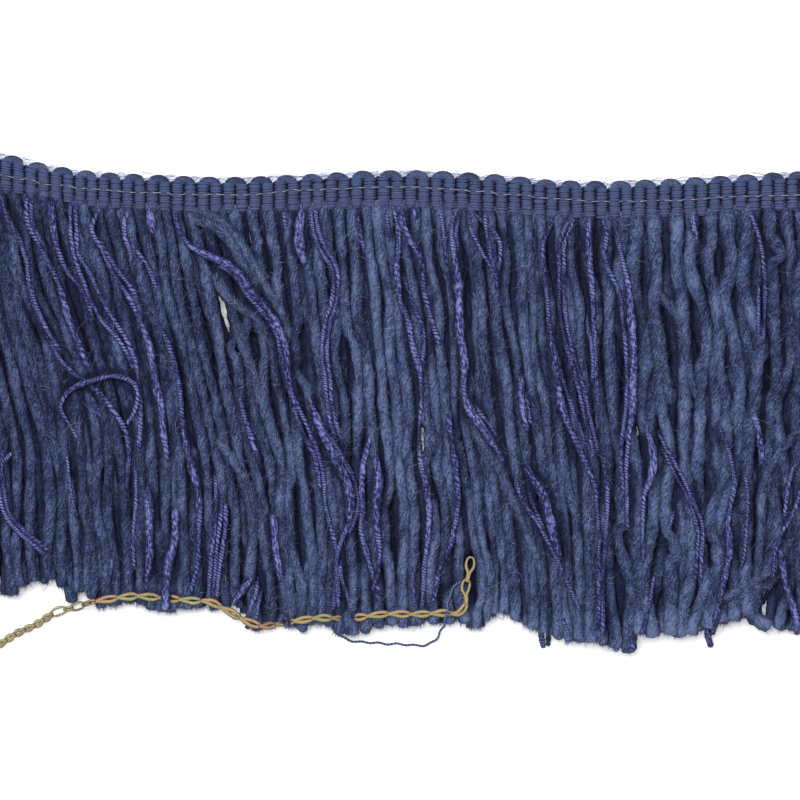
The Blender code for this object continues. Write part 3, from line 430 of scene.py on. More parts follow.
class Bundle:
    """Many closed tubes and fibres for one mesh, with a uv map in millimetres. Each point has a tint, how
    often its strand's section has turned so far and how loose the twist is there."""

    def __init__(self):
        self.points, self.faces, self.uvs, self.sizes = [], [], [], []
        self.looks = {"tint": [], "turns": [], "loose": []}
        self.total = 0

    def add_points(self, points, **looks):
        """Adds points with their looks, 0 where none is given, and returns the number of the first."""
        points = points.reshape(-1, 3)
        points[:, 2] = np.maximum(points[:, 2], LEAST_HEIGHT)
        self.points.append(points)
        for look, rows in self.looks.items():
            rows.append(np.broadcast_to(looks.get(look, 0.0), len(points)))
        self.total += len(points)
        return self.total - len(points)

    def add_faces(self, corners, uv, sides):
        """Adds faces of so many sides, from the numbers of their corners and the corners' uv places."""
        self.faces.append(corners.ravel())
        self.uvs.append(uv.reshape(-1, 2))
        self.sizes.append(np.full(corners.size // sides, sides))

    def tube(self, path, radius, sides, flat=1.0, tint=0.5, shift=0.0, lobes=(0, 0.0), turns=0.0, loose=0.0,
             rough=0.0):
        """Adds one tube along path. lobes is how many there are round it and how deep, turns how often the
        section has turned at each point, loose how open the twist is there, from 0 to 1, and rough how much
        further out each point of the surface lies, as a share."""
        count = len(path)
        along = unit(np.gradient(path, axis=0))
        side = unit(np.cross(along, UP))
        up = np.cross(side, along)
        travelled = lengths(path)
        radius, flat, turns, loose, tint, depth = (
            np.broadcast_to(np.asarray(values, float), count)
            for values in (radius, flat, turns, loose, tint, lobes[1]))
        angle = np.arange(sides) / sides * TURN - TURN / 4
        wave = np.cos(lobes[0] * (angle[None] - turns[:, None] * TURN))
        reach = radius[:, None] * (1 + depth[:, None] * wave) * (1 + rough)
        across = (reach * np.cos(angle))[..., None] * side[:, None]
        upward = (reach * flat[:, None] * np.sin(angle))[..., None] * up[:, None]
        first = self.add_points(
            path[:, None] + across + upward,
            tint=tint.repeat(sides), turns=turns.repeat(sides), loose=loose.repeat(sides))
        ring, turn = np.meshgrid(np.arange(count - 1), np.arange(sides), indexing="ij")
        corners = ((ring, turn), (ring + 1, turn), (ring + 1, turn + 1), (ring, turn + 1))
        numbers = [first + i * sides + k % sides for i, k in corners]
        uv = [np.stack([travelled[i] + shift, k / sides], axis=-1) for i, k in corners]
        self.add_faces(np.stack(numbers, axis=2), np.stack(uv, axis=2), 4)
        cap_uv = np.stack([np.cos(angle), np.sin(angle) / TURN], axis=1) * radius.mean()
        around = np.arange(sides)
        for end, order in ((0, around), (count - 1, around[::-1])):
            self.add_faces(first + end * sides + order, cap_uv[order] + [travelled[end] + shift, 0], sides)

    def fibres(self, paths, radius, tint):
        """Adds many fine three-sided fibres with pointed ends: paths has fibres, points and xyz."""
        number, count, _ = paths.shape
        size = count * FIBRE_SIDES
        along = unit(np.gradient(paths, axis=1))
        taper = np.interp(np.linspace(0, 1, count), *TAPER)
        rings = fibre_rings(paths, along, UP, radius[:, None] * taper)
        first = self.add_points(rings, tint=np.repeat(tint, size)) + np.arange(number)[:, None] * size
        around = np.arange(FIBRE_SIDES)
        ring, turn = np.meshgrid(np.arange(count - 1) * FIBRE_SIDES, around, indexing="ij")
        after = (turn + 1) % FIBRE_SIDES
        far = ring + FIBRE_SIDES
        quads = np.stack([ring + turn, far + turn, far + after, ring + after], axis=-1).ravel()
        quad_uv = np.stack([quads // FIBRE_SIDES, quads % FIBRE_SIDES / FIBRE_SIDES], axis=-1)
        shift = np.arange(number)[:, None, None] * np.array([FIBRE_SHIFT, 0.0])
        self.add_faces(first + quads, quad_uv + shift, 4)
        for corners in (around, size - 1 - around):
            self.add_faces(first + corners, np.zeros((number, FIBRE_SIDES, 2)), FIBRE_SIDES)

    def spikes(self, base, tip, radius, tint):
        """Adds many short pointed fibres, each a slim closed pyramid from base to tip."""
        rings = fibre_rings(base, unit(tip - base), LEANING_UP, radius)
        points = np.concatenate([rings, tip[:, None]], axis=1)
        size = FIBRE_SIDES + 1
        order = np.arange(len(base))[:, None]
        first = self.add_points(points, tint=np.repeat(tint, size)) + order * size
        corners = np.array([0, 3, 1, 1, 3, 2, 2, 3, 0, 0, 1, 2])
        at_tip = corners == FIBRE_SIDES
        uv = np.stack([order * FIBRE_SHIFT + at_tip, corners / FIBRE_SIDES + 0 * order], axis=2)
        self.add_faces(first + corners, uv, 3)

    def build(self, name, material, slot):
        """Makes the piece, which rides on the only body."""
        points = np.concatenate(self.points)
        looks = {look: np.concatenate(rows) for look, rows in self.looks.items()}
        looks["deep"] = pile.depth(points)
        mesh = bpy.data.meshes.new(name)
        corners = np.concatenate(self.faces).astype(np.int32)
        sizes = np.concatenate(self.sizes).astype(np.int32)
        mesh.vertices.add(self.total)
        mesh.vertices.foreach_set("co", (points * MM).astype(np.float32).ravel())
        mesh.loops.add(len(corners))
        mesh.loops.foreach_set("vertex_index", corners)
        mesh.polygons.add(len(sizes))
        mesh.polygons.foreach_set("loop_start", (np.cumsum(sizes) - sizes).astype(np.int32))
        mesh.polygons.foreach_set("use_smooth", np.ones(len(sizes), bool))
        mesh.update(calc_edges=True)
        uv_map = mesh.uv_layers.new(name="strand")
        uv_map.data.foreach_set("uv", np.concatenate(self.uvs).astype(np.float32).ravel())
        for look, values in looks.items():
            layer = mesh.attributes.new(look, "FLOAT", "POINT")
            layer.data.foreach_set("value", values.astype(np.float32))
        mesh.materials.append(material)
        piece = bpy.data.objects.new(name, mesh)
        bpy.context.collection.objects.link(piece)
        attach(piece, "root")
        return piece


# The heap that the strands build up, one on another
SOFT_FROM = 5.5                 # height from which the wool gives way under more wool
SOFT_SHARE = 0.6                # share of the height above it that stays
PLUNGE = 3.2                    # how deep an end that goes into the heap dives
PLUNGE_LENGTH = 4.5
LOWEST_HELD = 1.2               # greatest height of a strand's middle where it leaves the heading
RISE_BELOW_HEADING = 12.0       # how much more it may rise from there
HELD_LENGTH = (0.2, 6)          # over these distances below the heading
MOST_SUNK = 0.8                 # of its own half height, what a strand sinks into the heap at most
BRIDGED_DIP = 0.3               # a strand is never further below what it lies on
UNDER_WIDTH = 0.65              # share of a strand's width that rests on what is under it
OWN_WIDTH = 0.96                # share of it that it puts on the heap
HELD_WIDTH = 0.6                # share of it that a thread on top holds down
SMOOTH_LENGTH = 0.8             # length over which a strand's height is smoothed
HELD_SMOOTH_LENGTH = 0.6
CHAIN_GAP = 0.5                 # how far below the middle of the chain the strands under it stay
THREAD_GAP = 0.35               # and below the middle of the loose thread
THREAD_ON_WOOL = 1.0            # height from which that thread lies on wool
ROOM_CURVE = 0.45               # how fast the room for the strands grows beside a thread that holds them
ROOM_CELLS = 9                  # cells on each side of the thread where it is limited
BRIM_CELLS = 4                  # a place lies as deep as it is below the highest thing so many cells around
BARE_HEIGHT = 0.3               # lower places are open floor
BARE_CELLS = 24                 # how far open floor lights up what is beside it
AT_HEADING_DEEP = 0.4           # share of the painted shade between the strands that stays at the heading
AT_TIPS_DEEP = 0.3              # and at the cut ends
FADE_AT_HEADING = (1, 9)        # distances over which it grows to all of it
FADE_AT_TIPS = (0, 10)


def softened(values, times):
    """Cell values, averaged with their neighbours a number of times."""
    for _ in range(times):
        for axis in (0, 1):
            values = (np.roll(values, 1, axis) + values + np.roll(values, -1, axis)) / 3
    return values


def partly(least, share):
    """A share that starts from least instead of 0."""
    return least + (1 - least) * share


class Pile:
    """Height of what already lies on the surface, in cells."""
    CELL = 0.3
    LEFT, LOW = -123.0, -72.0
    COLUMNS, ROWS = 820, 470

    def __init__(self):
        self.height = np.zeros((self.ROWS, self.COLUMNS))
        self.brim = self.height
        self.shut = np.ones((self.ROWS, self.COLUMNS))
        self.ceiling = np.full((self.ROWS, self.COLUMNS), 99.0)

    def keep_under(self, guide, gap):
        """Keeps the strands that are laid from now on below a thread that lies on them."""
        near = np.arange(-ROOM_CELLS, ROOM_CELLS + 1)
        for x, y, z in guide:
            row, column = self.cells(x, y)
            rows = (row + near).clip(0, self.ROWS - 1)
            columns = (column + near).clip(0, self.COLUMNS - 1)
            across, along = np.meshgrid(self.LEFT + columns * self.CELL - x, self.LOW + rows * self.CELL - y)
            room = z - gap + ROOM_CURVE * (across ** 2 + along ** 2)
            window = np.ix_(rows, columns)
            self.ceiling[window] = np.minimum(self.ceiling[window], room)

    def settle(self):
        """Notes how high the finished heap is round each place, and how shut in the place is."""
        brim = self.height.copy()
        for _ in range(BRIM_CELLS):
            for axis in (0, 1):
                brim = np.maximum(brim, np.maximum(np.roll(brim, 1, axis), np.roll(brim, -1, axis)))
        self.brim = softened(brim, 3)
        x = self.LEFT + self.CELL * np.arange(self.COLUMNS)
        y = self.LOW + self.CELL * np.arange(self.ROWS)
        below_heading = heading_low(x)[None] - y[:, None]
        above_tips = y[:, None] - np.interp(x, TIP_X, TIP_Y)[None]
        bare = (self.height < BARE_HEIGHT) & (below_heading > 0)
        self.shut = np.clip(1 - 2 * softened(bare.astype(float), BARE_CELLS), 0, 1)
        self.shut *= partly(AT_HEADING_DEEP, ease(below_heading, *FADE_AT_HEADING))
        self.shut *= partly(AT_TIPS_DEEP, ease(above_tips, *FADE_AT_TIPS))

    def depth(self, points):
        """How far points lie below the heap's brim, in millimetres, for the painted shade between the
        strands. Beside open floor, which lights them, it counts less.
        """
        cells = self.cells(points[:, 0], points[:, 1])
        return np.maximum(self.brim[cells] - points[:, 2], 0) * self.shut[cells]

    def cells(self, x, y):
        """Row and column of the cells that places lie in."""
        column = np.clip(np.rint((x - self.LEFT) / self.CELL).astype(int), 0, self.COLUMNS - 1)
        row = np.clip(np.rint((y - self.LOW) / self.CELL).astype(int), 0, self.ROWS - 1)
        return row, column

    def across(self, line, radius, share, number):
        """The cells of a number of places across a share of a strand's width, a row for each of the points on
        its line, and how far from the line the places are."""
        offset = radius[:, None] * np.linspace(-share, share, number)[None]
        side = sideways(line)
        return self.cells(line[:, :1] + side[:, :1] * offset, line[:, 1:] + side[:, 1:] * offset), offset

    def add(self, line, middle, radius, flat):
        """Puts a strand on the heap."""
        cells, offset = self.across(line, radius, OWN_WIDTH, 13)
        round_part = np.sqrt(np.maximum(0, radius[:, None] ** 2 - offset ** 2))
        np.maximum.at(self.height, cells, middle[:, None] + flat[:, None] * round_part)

    def lay(self, line, radius, flat, ends="hf", press=0.3, stiff=3.0, lift=0.0, soft=True, over_chain=False):
        """Lays a strand over what is there and returns the height of its middle. It bridges short dips and
        sinks into what it crosses, deeper where the heap is high. An end marked u goes down into the heap."""
        thick = flat * radius
        ground = self.height[self.across(line, radius, UNDER_WIDTH, 7)[0]].max(axis=1)
        bridged = np.maximum(blur(ground, stiff / FINE), ground - BRIDGED_DIP)
        pressed = bridged - np.minimum(press * bridged, MOST_SUNK * flat * radius)
        middle = blur(pressed, SMOOTH_LENGTH / FINE) + thick + lift
        if soft:
            top = middle + thick
            middle = np.where(top > SOFT_FROM, SOFT_FROM + SOFT_SHARE * (top - SOFT_FROM), top) - thick
        travelled = lengths(line)
        for end, distance in zip(ends, (travelled, travelled[-1] - travelled)):
            if end == "u":
                middle = middle - PLUNGE * (1 - ease(distance, 0, PLUNGE_LENGTH))
        below_heading = heading_low(line[:, 0]) - line[:, 1]
        middle = np.minimum(middle, LOWEST_HELD + RISE_BELOW_HEADING * ease(below_heading, *HELD_LENGTH))
        held = self.ceiling[self.across(line, radius, HELD_WIDTH, 3)[0]].min(axis=1) - thick
        if held.min() < middle.max() and not over_chain:
            middle = np.minimum(blur(np.minimum(middle, held), HELD_SMOOTH_LENGTH / FINE), held)
        middle = np.maximum(middle, thick)
        self.add(line, middle, radius, flat)
        return middle


pile = Pile()
for part_of_chain in (CHAIN, TAIL):
    pile.keep_under(uncovered(even(part_of_chain, FINE, columns=3)), CHAIN_GAP)
thread_guide = even(THREAD, FINE, columns=3)
pile.keep_under(thread_guide[thread_guide[:, 2] > THREAD_ON_WOOL], THREAD_GAP)


# Camera straight above the trim
PHOTO_WIDTH = 200.0
LENS = 300.0
SENSOR = 36.0
camera_data = bpy.data.cameras.new("camera")
camera_data.lens = LENS
camera_data.sensor_width = SENSOR
camera_data.clip_end = 50
camera = bpy.data.objects.new("camera", camera_data)
camera.location = (0, 0, PHOTO_WIDTH * LENS / SENSOR * MM)
bpy.context.collection.objects.link(camera)
bpy.context.scene.camera = camera


# Materials
SHADE_COLOUR = (0.0035, 0.0070, 0.034, 1)       # what every colour goes towards where little light gets in
SHEEN_TINT = (0.75, 0.82, 1.0, 1)
SIDE_SHADE = (0.05, 0.5)        # shares of the way down a strand's sides over which they darken
DEPTH_SHADE = (0.2, 1.6)        # depths in the heap over which it darkens


class Look:
    """A material in the making: its shader, and nodes that are made and joined by these calls."""

    def __init__(self, name, roughness, sheen=0.0):
        self.material = bpy.data.materials.new(name)
        self.material.use_nodes = True
        self.nodes, self.links = self.material.node_tree.nodes, self.material.node_tree.links
        self.shader = self.nodes["Principled BSDF"]
        self.give(self.shader, {
            "Roughness": roughness, "Specular IOR Level": 0.2, "Sheen Weight": sheen, "Sheen Roughness": 0.5,
            "Sheen Tint": SHEEN_TINT})

    def give(self, node, inputs):
        """Gives a node's inputs numbers, colours or other nodes' outputs."""
        for name, value in inputs.items():
            if isinstance(value, bpy.types.NodeSocket):
                self.links.new(value, node.inputs[name])
            else:
                node.inputs[name].default_value = value

    def node(self, kind, **inputs):
        """A new node with its inputs."""
        node = self.nodes.new("ShaderNode" + kind)
        self.give(node, inputs)
        return node

    def math(self, operation, *values):
        """What a Math node makes of numbers or other nodes' outputs."""
        node = self.node("Math")
        node.operation = operation
        self.give(node, dict(enumerate(values)))
        return node.outputs["Value"]

    def strand_place(self):
        """Millimetres along the strand, and the share of the way round it."""
        uv = self.node("UVMap")
        uv.uv_map = "strand"
        parts = self.node("SeparateXYZ", Vector=uv.outputs["UV"])
        return parts.outputs["X"], parts.outputs["Y"]

    def object_place(self):
        """The place in the part's own frame, in metres."""
        return self.node("TexCoord").outputs["Object"]

    def held(self, look):
        """What the mesh holds at each point under a name."""
        node = self.node("Attribute")
        node.attribute_name = look
        return node.outputs["Fac"]

    def noise(self, place, scale, detail, roughness):
        """A noise between 0 and 1."""
        node = self.node("TexNoise", Vector=place, Scale=scale, Detail=detail, Roughness=roughness)
        return node.outputs["Fac"]

    def streaks(self, along, around, twist, detail=3.0):
        """Noise drawn out along the strands: cycles in a millimetre along, cycles in a turn round, and how
        many turns they make round the strand in a millimetre."""
        u, v = self.strand_place()
        far = self.math("MULTIPLY", u, along)
        turned = self.math("MULTIPLY", self.math("MULTIPLY_ADD", u, twist, v), around)
        place = self.node("CombineXYZ", X=far, Y=turned)
        return self.noise(place.outputs["Vector"], 1.0, detail, 0.6)

    def flecks(self, fineness):
        """Even noise for fuzz that lies every way: fineness is in cycles a millimetre."""
        return self.noise(self.object_place(), fineness / MM, 3.0, 0.65)

    def plies(self):
        """1 on the crowns of a two-ply yarn and 0 in the grooves between its plies: bump height, and painted
        highlight on the crowns and painted shade in the grooves.
        """
        place = self.math("SUBTRACT", self.strand_place()[1], self.held("turns"))
        wave = self.math("SINE", self.math("MULTIPLY", place, TURN))
        return self.math("POWER", self.math("ABSOLUTE", wave), 1.1)

    def mixed(self, first, second, share):
        """first and second mixed, by a share of second."""
        return self.node("Mix", Factor=share, A=first, B=second).outputs["Result"]

    def ramp(self, value, stops):
        """Colours for a value: stops are (place, (red, green, blue))."""
        node = self.node("ValToRGB", Fac=value)
        elements = node.color_ramp.elements
        while len(elements) < len(stops):
            elements.new(0.5)
        for element, (place, colour) in zip(elements, stops):
            element.position = place
            element.color = (*colour, 1)
        return node.outputs["Color"]

    def spread(self, value, first, last, low, high):
        """low where the value is first, high where it is last and smooth between."""
        node = self.node("MapRange", Value=value)
        node.interpolation_type = "SMOOTHSTEP"
        self.give(node, {"From Min": first, "From Max": last, "To Min": low, "To Max": high})
        return node.outputs["Result"]

    def side_shade(self, dark):
        """1 along the top of a strand and down to dark round its sides, where neighbours hide the light."""
        below = self.math("ABSOLUTE", self.math("MULTIPLY_ADD", self.strand_place()[1], 2.0, -1.0))
        return self.spread(below, *SIDE_SHADE, 1.0, dark)

    def depth_shade(self, dark):
        """1 on top of the heap, and down to dark between its strands."""
        return self.spread(self.held("deep"), *DEPTH_SHADE, 1.0, dark)

    def recess_shade(self, low, high, dark):
        """dark at the height low and 1 from the height high up, in millimetres over the surface."""
        height = self.node("SeparateXYZ", Vector=self.object_place()).outputs["Z"]
        return self.spread(height, low * MM, high * MM, dark, 1.0)

    def shaded(self, colour, light):
        """Mixes a deep blue into the colour where little light gets in."""
        mix = self.node("Mix", Factor=light)
        mix.data_type = "RGBA"
        deep, plain = [socket for socket in mix.inputs if socket.type == "RGBA"]
        deep.default_value = SHADE_COLOUR
        self.links.new(colour, plain)
        return next(socket for socket in mix.outputs if socket.type == "RGBA")

    def finish(self, colour, height, relief):
        """Gives the shader its colour, and bumps of a height in millimetres. Returns the material."""
        bump = self.node("Bump", Height=height, Distance=relief * MM, Strength=1.0)
        self.give(self.shader, {"Base Color": colour, "Normal": bump.outputs["Normal"]})
        return self.material


def strand_material(name, stops, streak, relief, sheen=0.0, patch=(0.1, 2.0, 0.03), gain=2.0, tint_share=0.3,
                    fuzz=None, painted_ply_share=0.0, side_dark=None, deep_dark=None, recess=None, roughness=0.9):
    """A fibre material: streaks, slow patches, the plies and the strand's own tint decide the colour, the
    plies as painted highlight on their crowns and painted shade in their grooves, and side_dark, deep_dark
    and recess how dark it gets where neighbours hide the light."""
    look = Look(name, roughness, sheen)
    height = look.streaks(*streak)
    if fuzz is not None:
        height = look.mixed(height, look.flecks(fuzz), 0.5)
    slow = look.streaks(*patch, detail=2.0)
    strong = look.math("MULTIPLY_ADD", look.mixed(height, slow, 0.3), gain, 0.5 - 0.5 * gain)
    value = look.mixed(strong, look.held("tint"), tint_share)
    # Painted highlight on the crowns of the plies and painted shade in the grooves between them
    if painted_ply_share:
        crown = look.plies()
        clear = look.spread(slow, 0.35, 0.62, 0.35 * painted_ply_share, 1.2 * painted_ply_share)
        tight = look.math("MULTIPLY_ADD", look.held("loose"), -0.75, 1.0)
        value = look.mixed(value, crown, look.math("MULTIPLY", clear, tight))
        height = look.mixed(height, crown, 0.5)
    colour = look.ramp(value, stops)
    if side_dark is not None:
        colour = look.shaded(colour, look.side_shade(side_dark))
    if deep_dark is not None:
        colour = look.shaded(colour, look.depth_shade(deep_dark))
    if recess is not None:
        colour = look.shaded(colour, look.recess_shade(*recess))
    return look.finish(colour, height, relief)


WOOL = strand_material(
    "fuzzy_roving",
    ((0.12, (0.008, 0.012, 0.040)), (0.34, (0.025, 0.038, 0.102)), (0.52, (0.052, 0.077, 0.184)),
     (0.70, (0.095, 0.133, 0.290)), (0.90, (0.165, 0.216, 0.405))),
    streak=(0.55, 26.0, 0.045), fuzz=2.4, relief=1.3, sheen=0.03, gain=7.0, tint_share=0.32, side_dark=0.35,
    deep_dark=0.09)
# Painted shade: a darker copy of the roving for the back layer, which lies in the shade of the layers above
# it
WOOL_BELOW_SHADED = strand_material(
    "fuzzy_roving_below_shaded",
    ((0.15, (0.008, 0.011, 0.035)), (0.50, (0.030, 0.042, 0.106)), (0.85, (0.064, 0.090, 0.192))),
    streak=(0.55, 26.0, 0.045), fuzz=2.4, relief=1.3, gain=7.0, side_dark=0.25, deep_dark=0.45)
# Its pale upper stops are painted highlight, for thin fibres that catch the light
FUZZ = strand_material(
    "stray_fibres",
    ((0.08, (0.011, 0.016, 0.054)), (0.34, (0.048, 0.070, 0.170)), (0.62, (0.122, 0.166, 0.330)),
     (0.86, (0.250, 0.306, 0.480)), (0.98, (0.420, 0.440, 0.520))),
    streak=(0.5, 2.0, 0.0), relief=0.02, gain=1.0, tint_share=0.94, deep_dark=0.32)
VIOLET = strand_material(
    "slub_yarn",
    ((0.20, (0.005, 0.007, 0.034)), (0.42, (0.024, 0.030, 0.118)), (0.64, (0.080, 0.092, 0.272)),
     (0.88, (0.195, 0.214, 0.480))),
    streak=(0.8, 14.0, 0.0), relief=0.3, sheen=0.03, gain=5.9, tint_share=0.26, painted_ply_share=0.5, side_dark=0.03,
    deep_dark=0.3, roughness=0.75)


# Wool roving in three layers. flat is height over width and at_heading the share of it there, step the
# spacing of a strand's rings, own and shared how far it sways, loose how far the roots stray from their
# pitch, lumpy how uneven the strands are, and wild and fuller how much more they sway and how much thicker
# they are right of the middle.
Layer = namedtuple("Layer", "pitch radius flat at_heading sides step own shared loose lumpy wild fuller")
LAYERS = (
    Layer(2.2, 1.5, 0.68, 0.2, 6, 2.3, 0.12, 0.35, 0.06, 0.4, 0.0, 0.0),
    Layer(2.75, 1.45, 0.78, 0.25, 7, 1.4, 0.4, 0.9, 0.22, 1.0, 0.9, 0.34),
    Layer(3.2, 1.5, 0.9, 0.4, 8, 1.15, 0.32, 1.15, 0.22, 1.0, 0.9, 0.34),
)
LUMPS = ((0.10, 18, 34), (0.08, 7, 12), (0.05, 3, 5))   # size, shortest and longest wave
SWAY_GRID = (6.5, 14.0)         # spacing of the shared sway along the heading and down the strands
ROVING_TURNS = -1 / 24.0        # turns of the roving's twist in a millimetre
EDGE_GAP = 0.35                 # pitches by which the outermost strands stand further off, to lie flat
ROOT_INSET = 1.4                # distance of the outermost roots from the heading's ends
RIGHT_END = LEFT_END + RIB_PITCH * RIB_COUNT
HIDDEN_ROOT = 1.4               # length of a strand that lies under the heading
MIDWAY = 150                    # the point of a line, 43.6 mm down, whose place says how wild the strand is
WILD_FROM = (48, 66)            # places along the heading over which the strands get wilder
FULLER_FROM = (40, 66)          # and thicker
LONGEST = 125                   # greatest depth below the heading that the lines are worked out to
SWAY_WAVES = ((30, 60), (14, 26))       # shortest and longest wave of each strand's own two sways
FULL_SWAY_WAVE = 45             # wave at which a strand's own sway is as its layer gives it
UNEVEN = (-0.16, 0.14)          # how much thinner or thicker a strand is as a whole, where lumpy is 1
SHARED_SWAY_FROM = (1, 18)      # depths over which the shared sway sets in
OWN_SWAY_FROM = (2, 20)         # and each strand's own
EVEN_DEPTH = 70.0               # depth where the strands are to be evenly spaced
EVEN_SHARE = 0.65               # how much that counts, against even spacing at the heading
TIP_STEP = 0.3                  # how much shorter the strands of each lower layer are
TIP_SPREAD = 0.5
PART_REACH = 9.0                # how far from a parting its neighbours still move aside
PART_OPENS = (-0.35, 0.1)       # shares of a parting's length over which it opens
PART_CLOSES = (0.9, 1.35)       # and closes again
HALF_STRAND = 1.25
SWEEP_LUMPS = ((0.08, 3.1, 0), (0.05, 1.3, 2))          # size, length over which they come and go, start
SWEEP_FLAT = 0.9
SWEEP_AT_HEADING = 0.6
SWEEP_SIDES = 9
SWEEP_STEP = 1.0


def flow(root, depth):
    """Where a strand lies at depths below the heading."""
    table = np.array(FLOW)
    row = [np.interp(root, table[:, 0], table[:, c]) for c in range(table.shape[1])]
    return smooth_table(depth, FLOW_DEPTHS, row)


class Sway:
    """Smooth sideways drift that neighbours share, so that strands bunch and part."""

    def __init__(self, amount, random):
        self.roots = np.arange(-130, 131, SWAY_GRID[0])
        self.depths = np.arange(-20, 145, SWAY_GRID[1])
        self.drift = random.uniform(-amount, amount, (len(self.roots), len(self.depths)))

    def at(self, root, depth):
        """The drift of the strand from a root, at depths below the heading."""
        column = smooth_table(np.array([root]), self.roots, self.drift)[0]
        return smooth_table(depth, self.depths, column) * ease(depth, *SHARED_SWAY_FROM)


def parted(line, layer_from_top):
    """Moves a line aside where its layer parts."""
    x, y = line[:, 0].copy(), line[:, 1]
    for top_x, top_y, low_x, low_y, width, layers in PARTINGS:
        if layer_from_top >= layers:
            continue
        share = (top_y - y) / (top_y - low_y)
        centre = top_x + (low_x - top_x) * np.clip(share, 0, 1)
        strength = ease(share, *PART_OPENS) * (1 - ease(share, *PART_CLOSES))
        away = x - centre
        sign = 1.0 if away[np.argmax(strength)] >= 0 else -1.0
        clear = width / 2 + HALF_STRAND
        pushed = sign * np.sqrt(away ** 2 + clear ** 2)
        near = np.exp(-(away / PART_REACH) ** 2)
        x = np.where(strength > 0, centre + away + (pushed - away) * strength * near, x)
    return np.stack([x, y], axis=1)


def thickness(layer, x):
    """How thick the strands of a layer are, by place along the heading."""
    return 1 + layer.fuller * ease(x, *FULLER_FROM)


def spaced_roots(layer, random):
    """Roots so placed that the strands cover the whole skirt evenly, although it fans out."""
    roots = np.linspace(LEFT_END + ROOT_INSET, RIGHT_END - ROOT_INSET, 300)
    lower = np.array([flow(root, np.array([EVEN_DEPTH]))[0] for root in roots])
    halfway = (1 - EVEN_SHARE) * roots + EVEN_SHARE * lower
    count = np.cumsum(np.gradient(halfway) / (layer.pitch * thickness(layer, halfway)))
    places = np.arange(count[0], count[-1]) + EDGE_GAP
    places[0] -= EDGE_GAP
    places[-1] += EDGE_GAP
    return np.interp(places + random.uniform(-layer.loose, layer.loose, len(places)), count, roots)


def wool_lines(layer, from_top, random):
    """One line for each strand of a layer, root first, in fine steps, with its radius at each point."""
    sway = Sway(layer.shared, random)
    depth = np.arange(-HIDDEN_ROOT, LONGEST, FINE)
    strands = []
    for root in spaced_roots(layer, random):
        x = flow(root, depth)
        wild = 1 + layer.wild * ease(x[MIDWAY], *WILD_FROM)
        x = x + sway.at(root, depth) * wild
        for wavelength in [random.uniform(*waves) for waves in SWAY_WAVES]:
            swing = layer.own * wild * wavelength / FULL_SWAY_WAVE * ease(depth, *OWN_SWAY_FROM)
            x = x + swing * np.sin(TURN * depth / wavelength + random.uniform(0, TURN))
        y = heading_low(root) - depth
        tip = np.interp(x, TIP_X, TIP_Y) + random.normal(TIP_STEP * from_top, TIP_SPREAD)
        kept = np.arange(len(depth)) < np.argmax(y < tip)
        line = parted(np.stack([x, y], axis=1)[kept], from_top)
        travelled = lengths(line)
        lumps = sum(
            size * np.sin(TURN * travelled / random.uniform(low, high) + random.uniform(0, TURN))
            for size, low, high in LUMPS)
        width = layer.radius * (1 + (random.uniform(*UNEVEN) + lumps) * layer.lumpy)
        strands.append((line, width * thickness(layer, line[:, 0])))
    return strands


def stations(travelled, step, end=1.1):
    """Indexes of the points that carry a ring: even, and closer together at the cut end."""
    body = np.arange(0, travelled[-1] - end, step)
    close = travelled[-1] - end * np.array([1.0, 0.6, 0.3, 0.12, 0.0])
    return np.unique(np.searchsorted(travelled, np.concatenate([body, close])).clip(0, len(travelled) - 1))


def rounded_end(travelled, radius, blunt=0.7, least=0.65):
    """Radius with a rounded cut end."""
    left = np.clip((travelled[-1] - travelled) / blunt, 0, 1)
    return radius * (least + (1 - least) * np.sqrt(1 - (1 - left) ** 2))


laid_wool = []                  # path, radius and height over width of each strand, for the fibres on it
PAINTED_LIGHT_TONES = (  # x, how much paler the roving's tint is there: painted light, paler where more light falls on the wool
    (-100, -0.22), (-72, -0.08), (-56, 0.02), (-42, 0.32), (6, 0.38), (22, 0.2), (60, 0.15), (85, 0.05),
    (100, 0.0),
)
PALE_END = 0.15                 # how much paler the tint is at a cut end: partly the ends' own paler colour, partly painted light from the floor
PALER_RIGHT = 0.75              # and how much more than that right of the middle
PALE_FROM = (5, 30)             # places along the heading over which the cut ends turn so pale
PALE_LENGTH = 9                 # length of a strand that is paler


def painted_light_tone(x):
    """How much paler the wool's tint is along the heading: painted light, paler where more light falls on it.
    """
    return np.interp(x, *np.array(PAINTED_LIGHT_TONES).T)


def add_roving(bundle, line, width, flat, sides, step, random, ends="hf"):
    """Lays one strand of roving on the heap and adds its tube. Its tint carries the painted light along the
    heading, and its cut end is paler than the rest: partly its own colour, partly painted light from the
    floor.
    """
    path = np.column_stack([line, pile.lay(line, width, flat, ends)])
    travelled = lengths(path)
    picked = stations(travelled, step)
    tint = random.uniform(0.15, 0.85) + painted_light_tone(line[picked, 0])
    # Paler cut end: partly the ends' own colour, partly painted light from the floor
    if ends[1] == "f":
        near_end = 1 - ease(travelled[-1] - travelled[picked], 0, PALE_LENGTH)
        tint += (PALE_END + PALER_RIGHT * ease(line[picked, 0], *PALE_FROM)) * near_end
    bundle.tube(
        path[picked], rounded_end(travelled, width)[picked], sides, flat=flat[picked],
        tint=tint, shift=random.uniform(0, 9000), lobes=(3, 0.07),
        turns=travelled[picked] * ROVING_TURNS + random.uniform(0, 1),
        rough=random.uniform(-0.08, 0.08, (len(picked), sides)))
    laid_wool.append((path, width, flat))


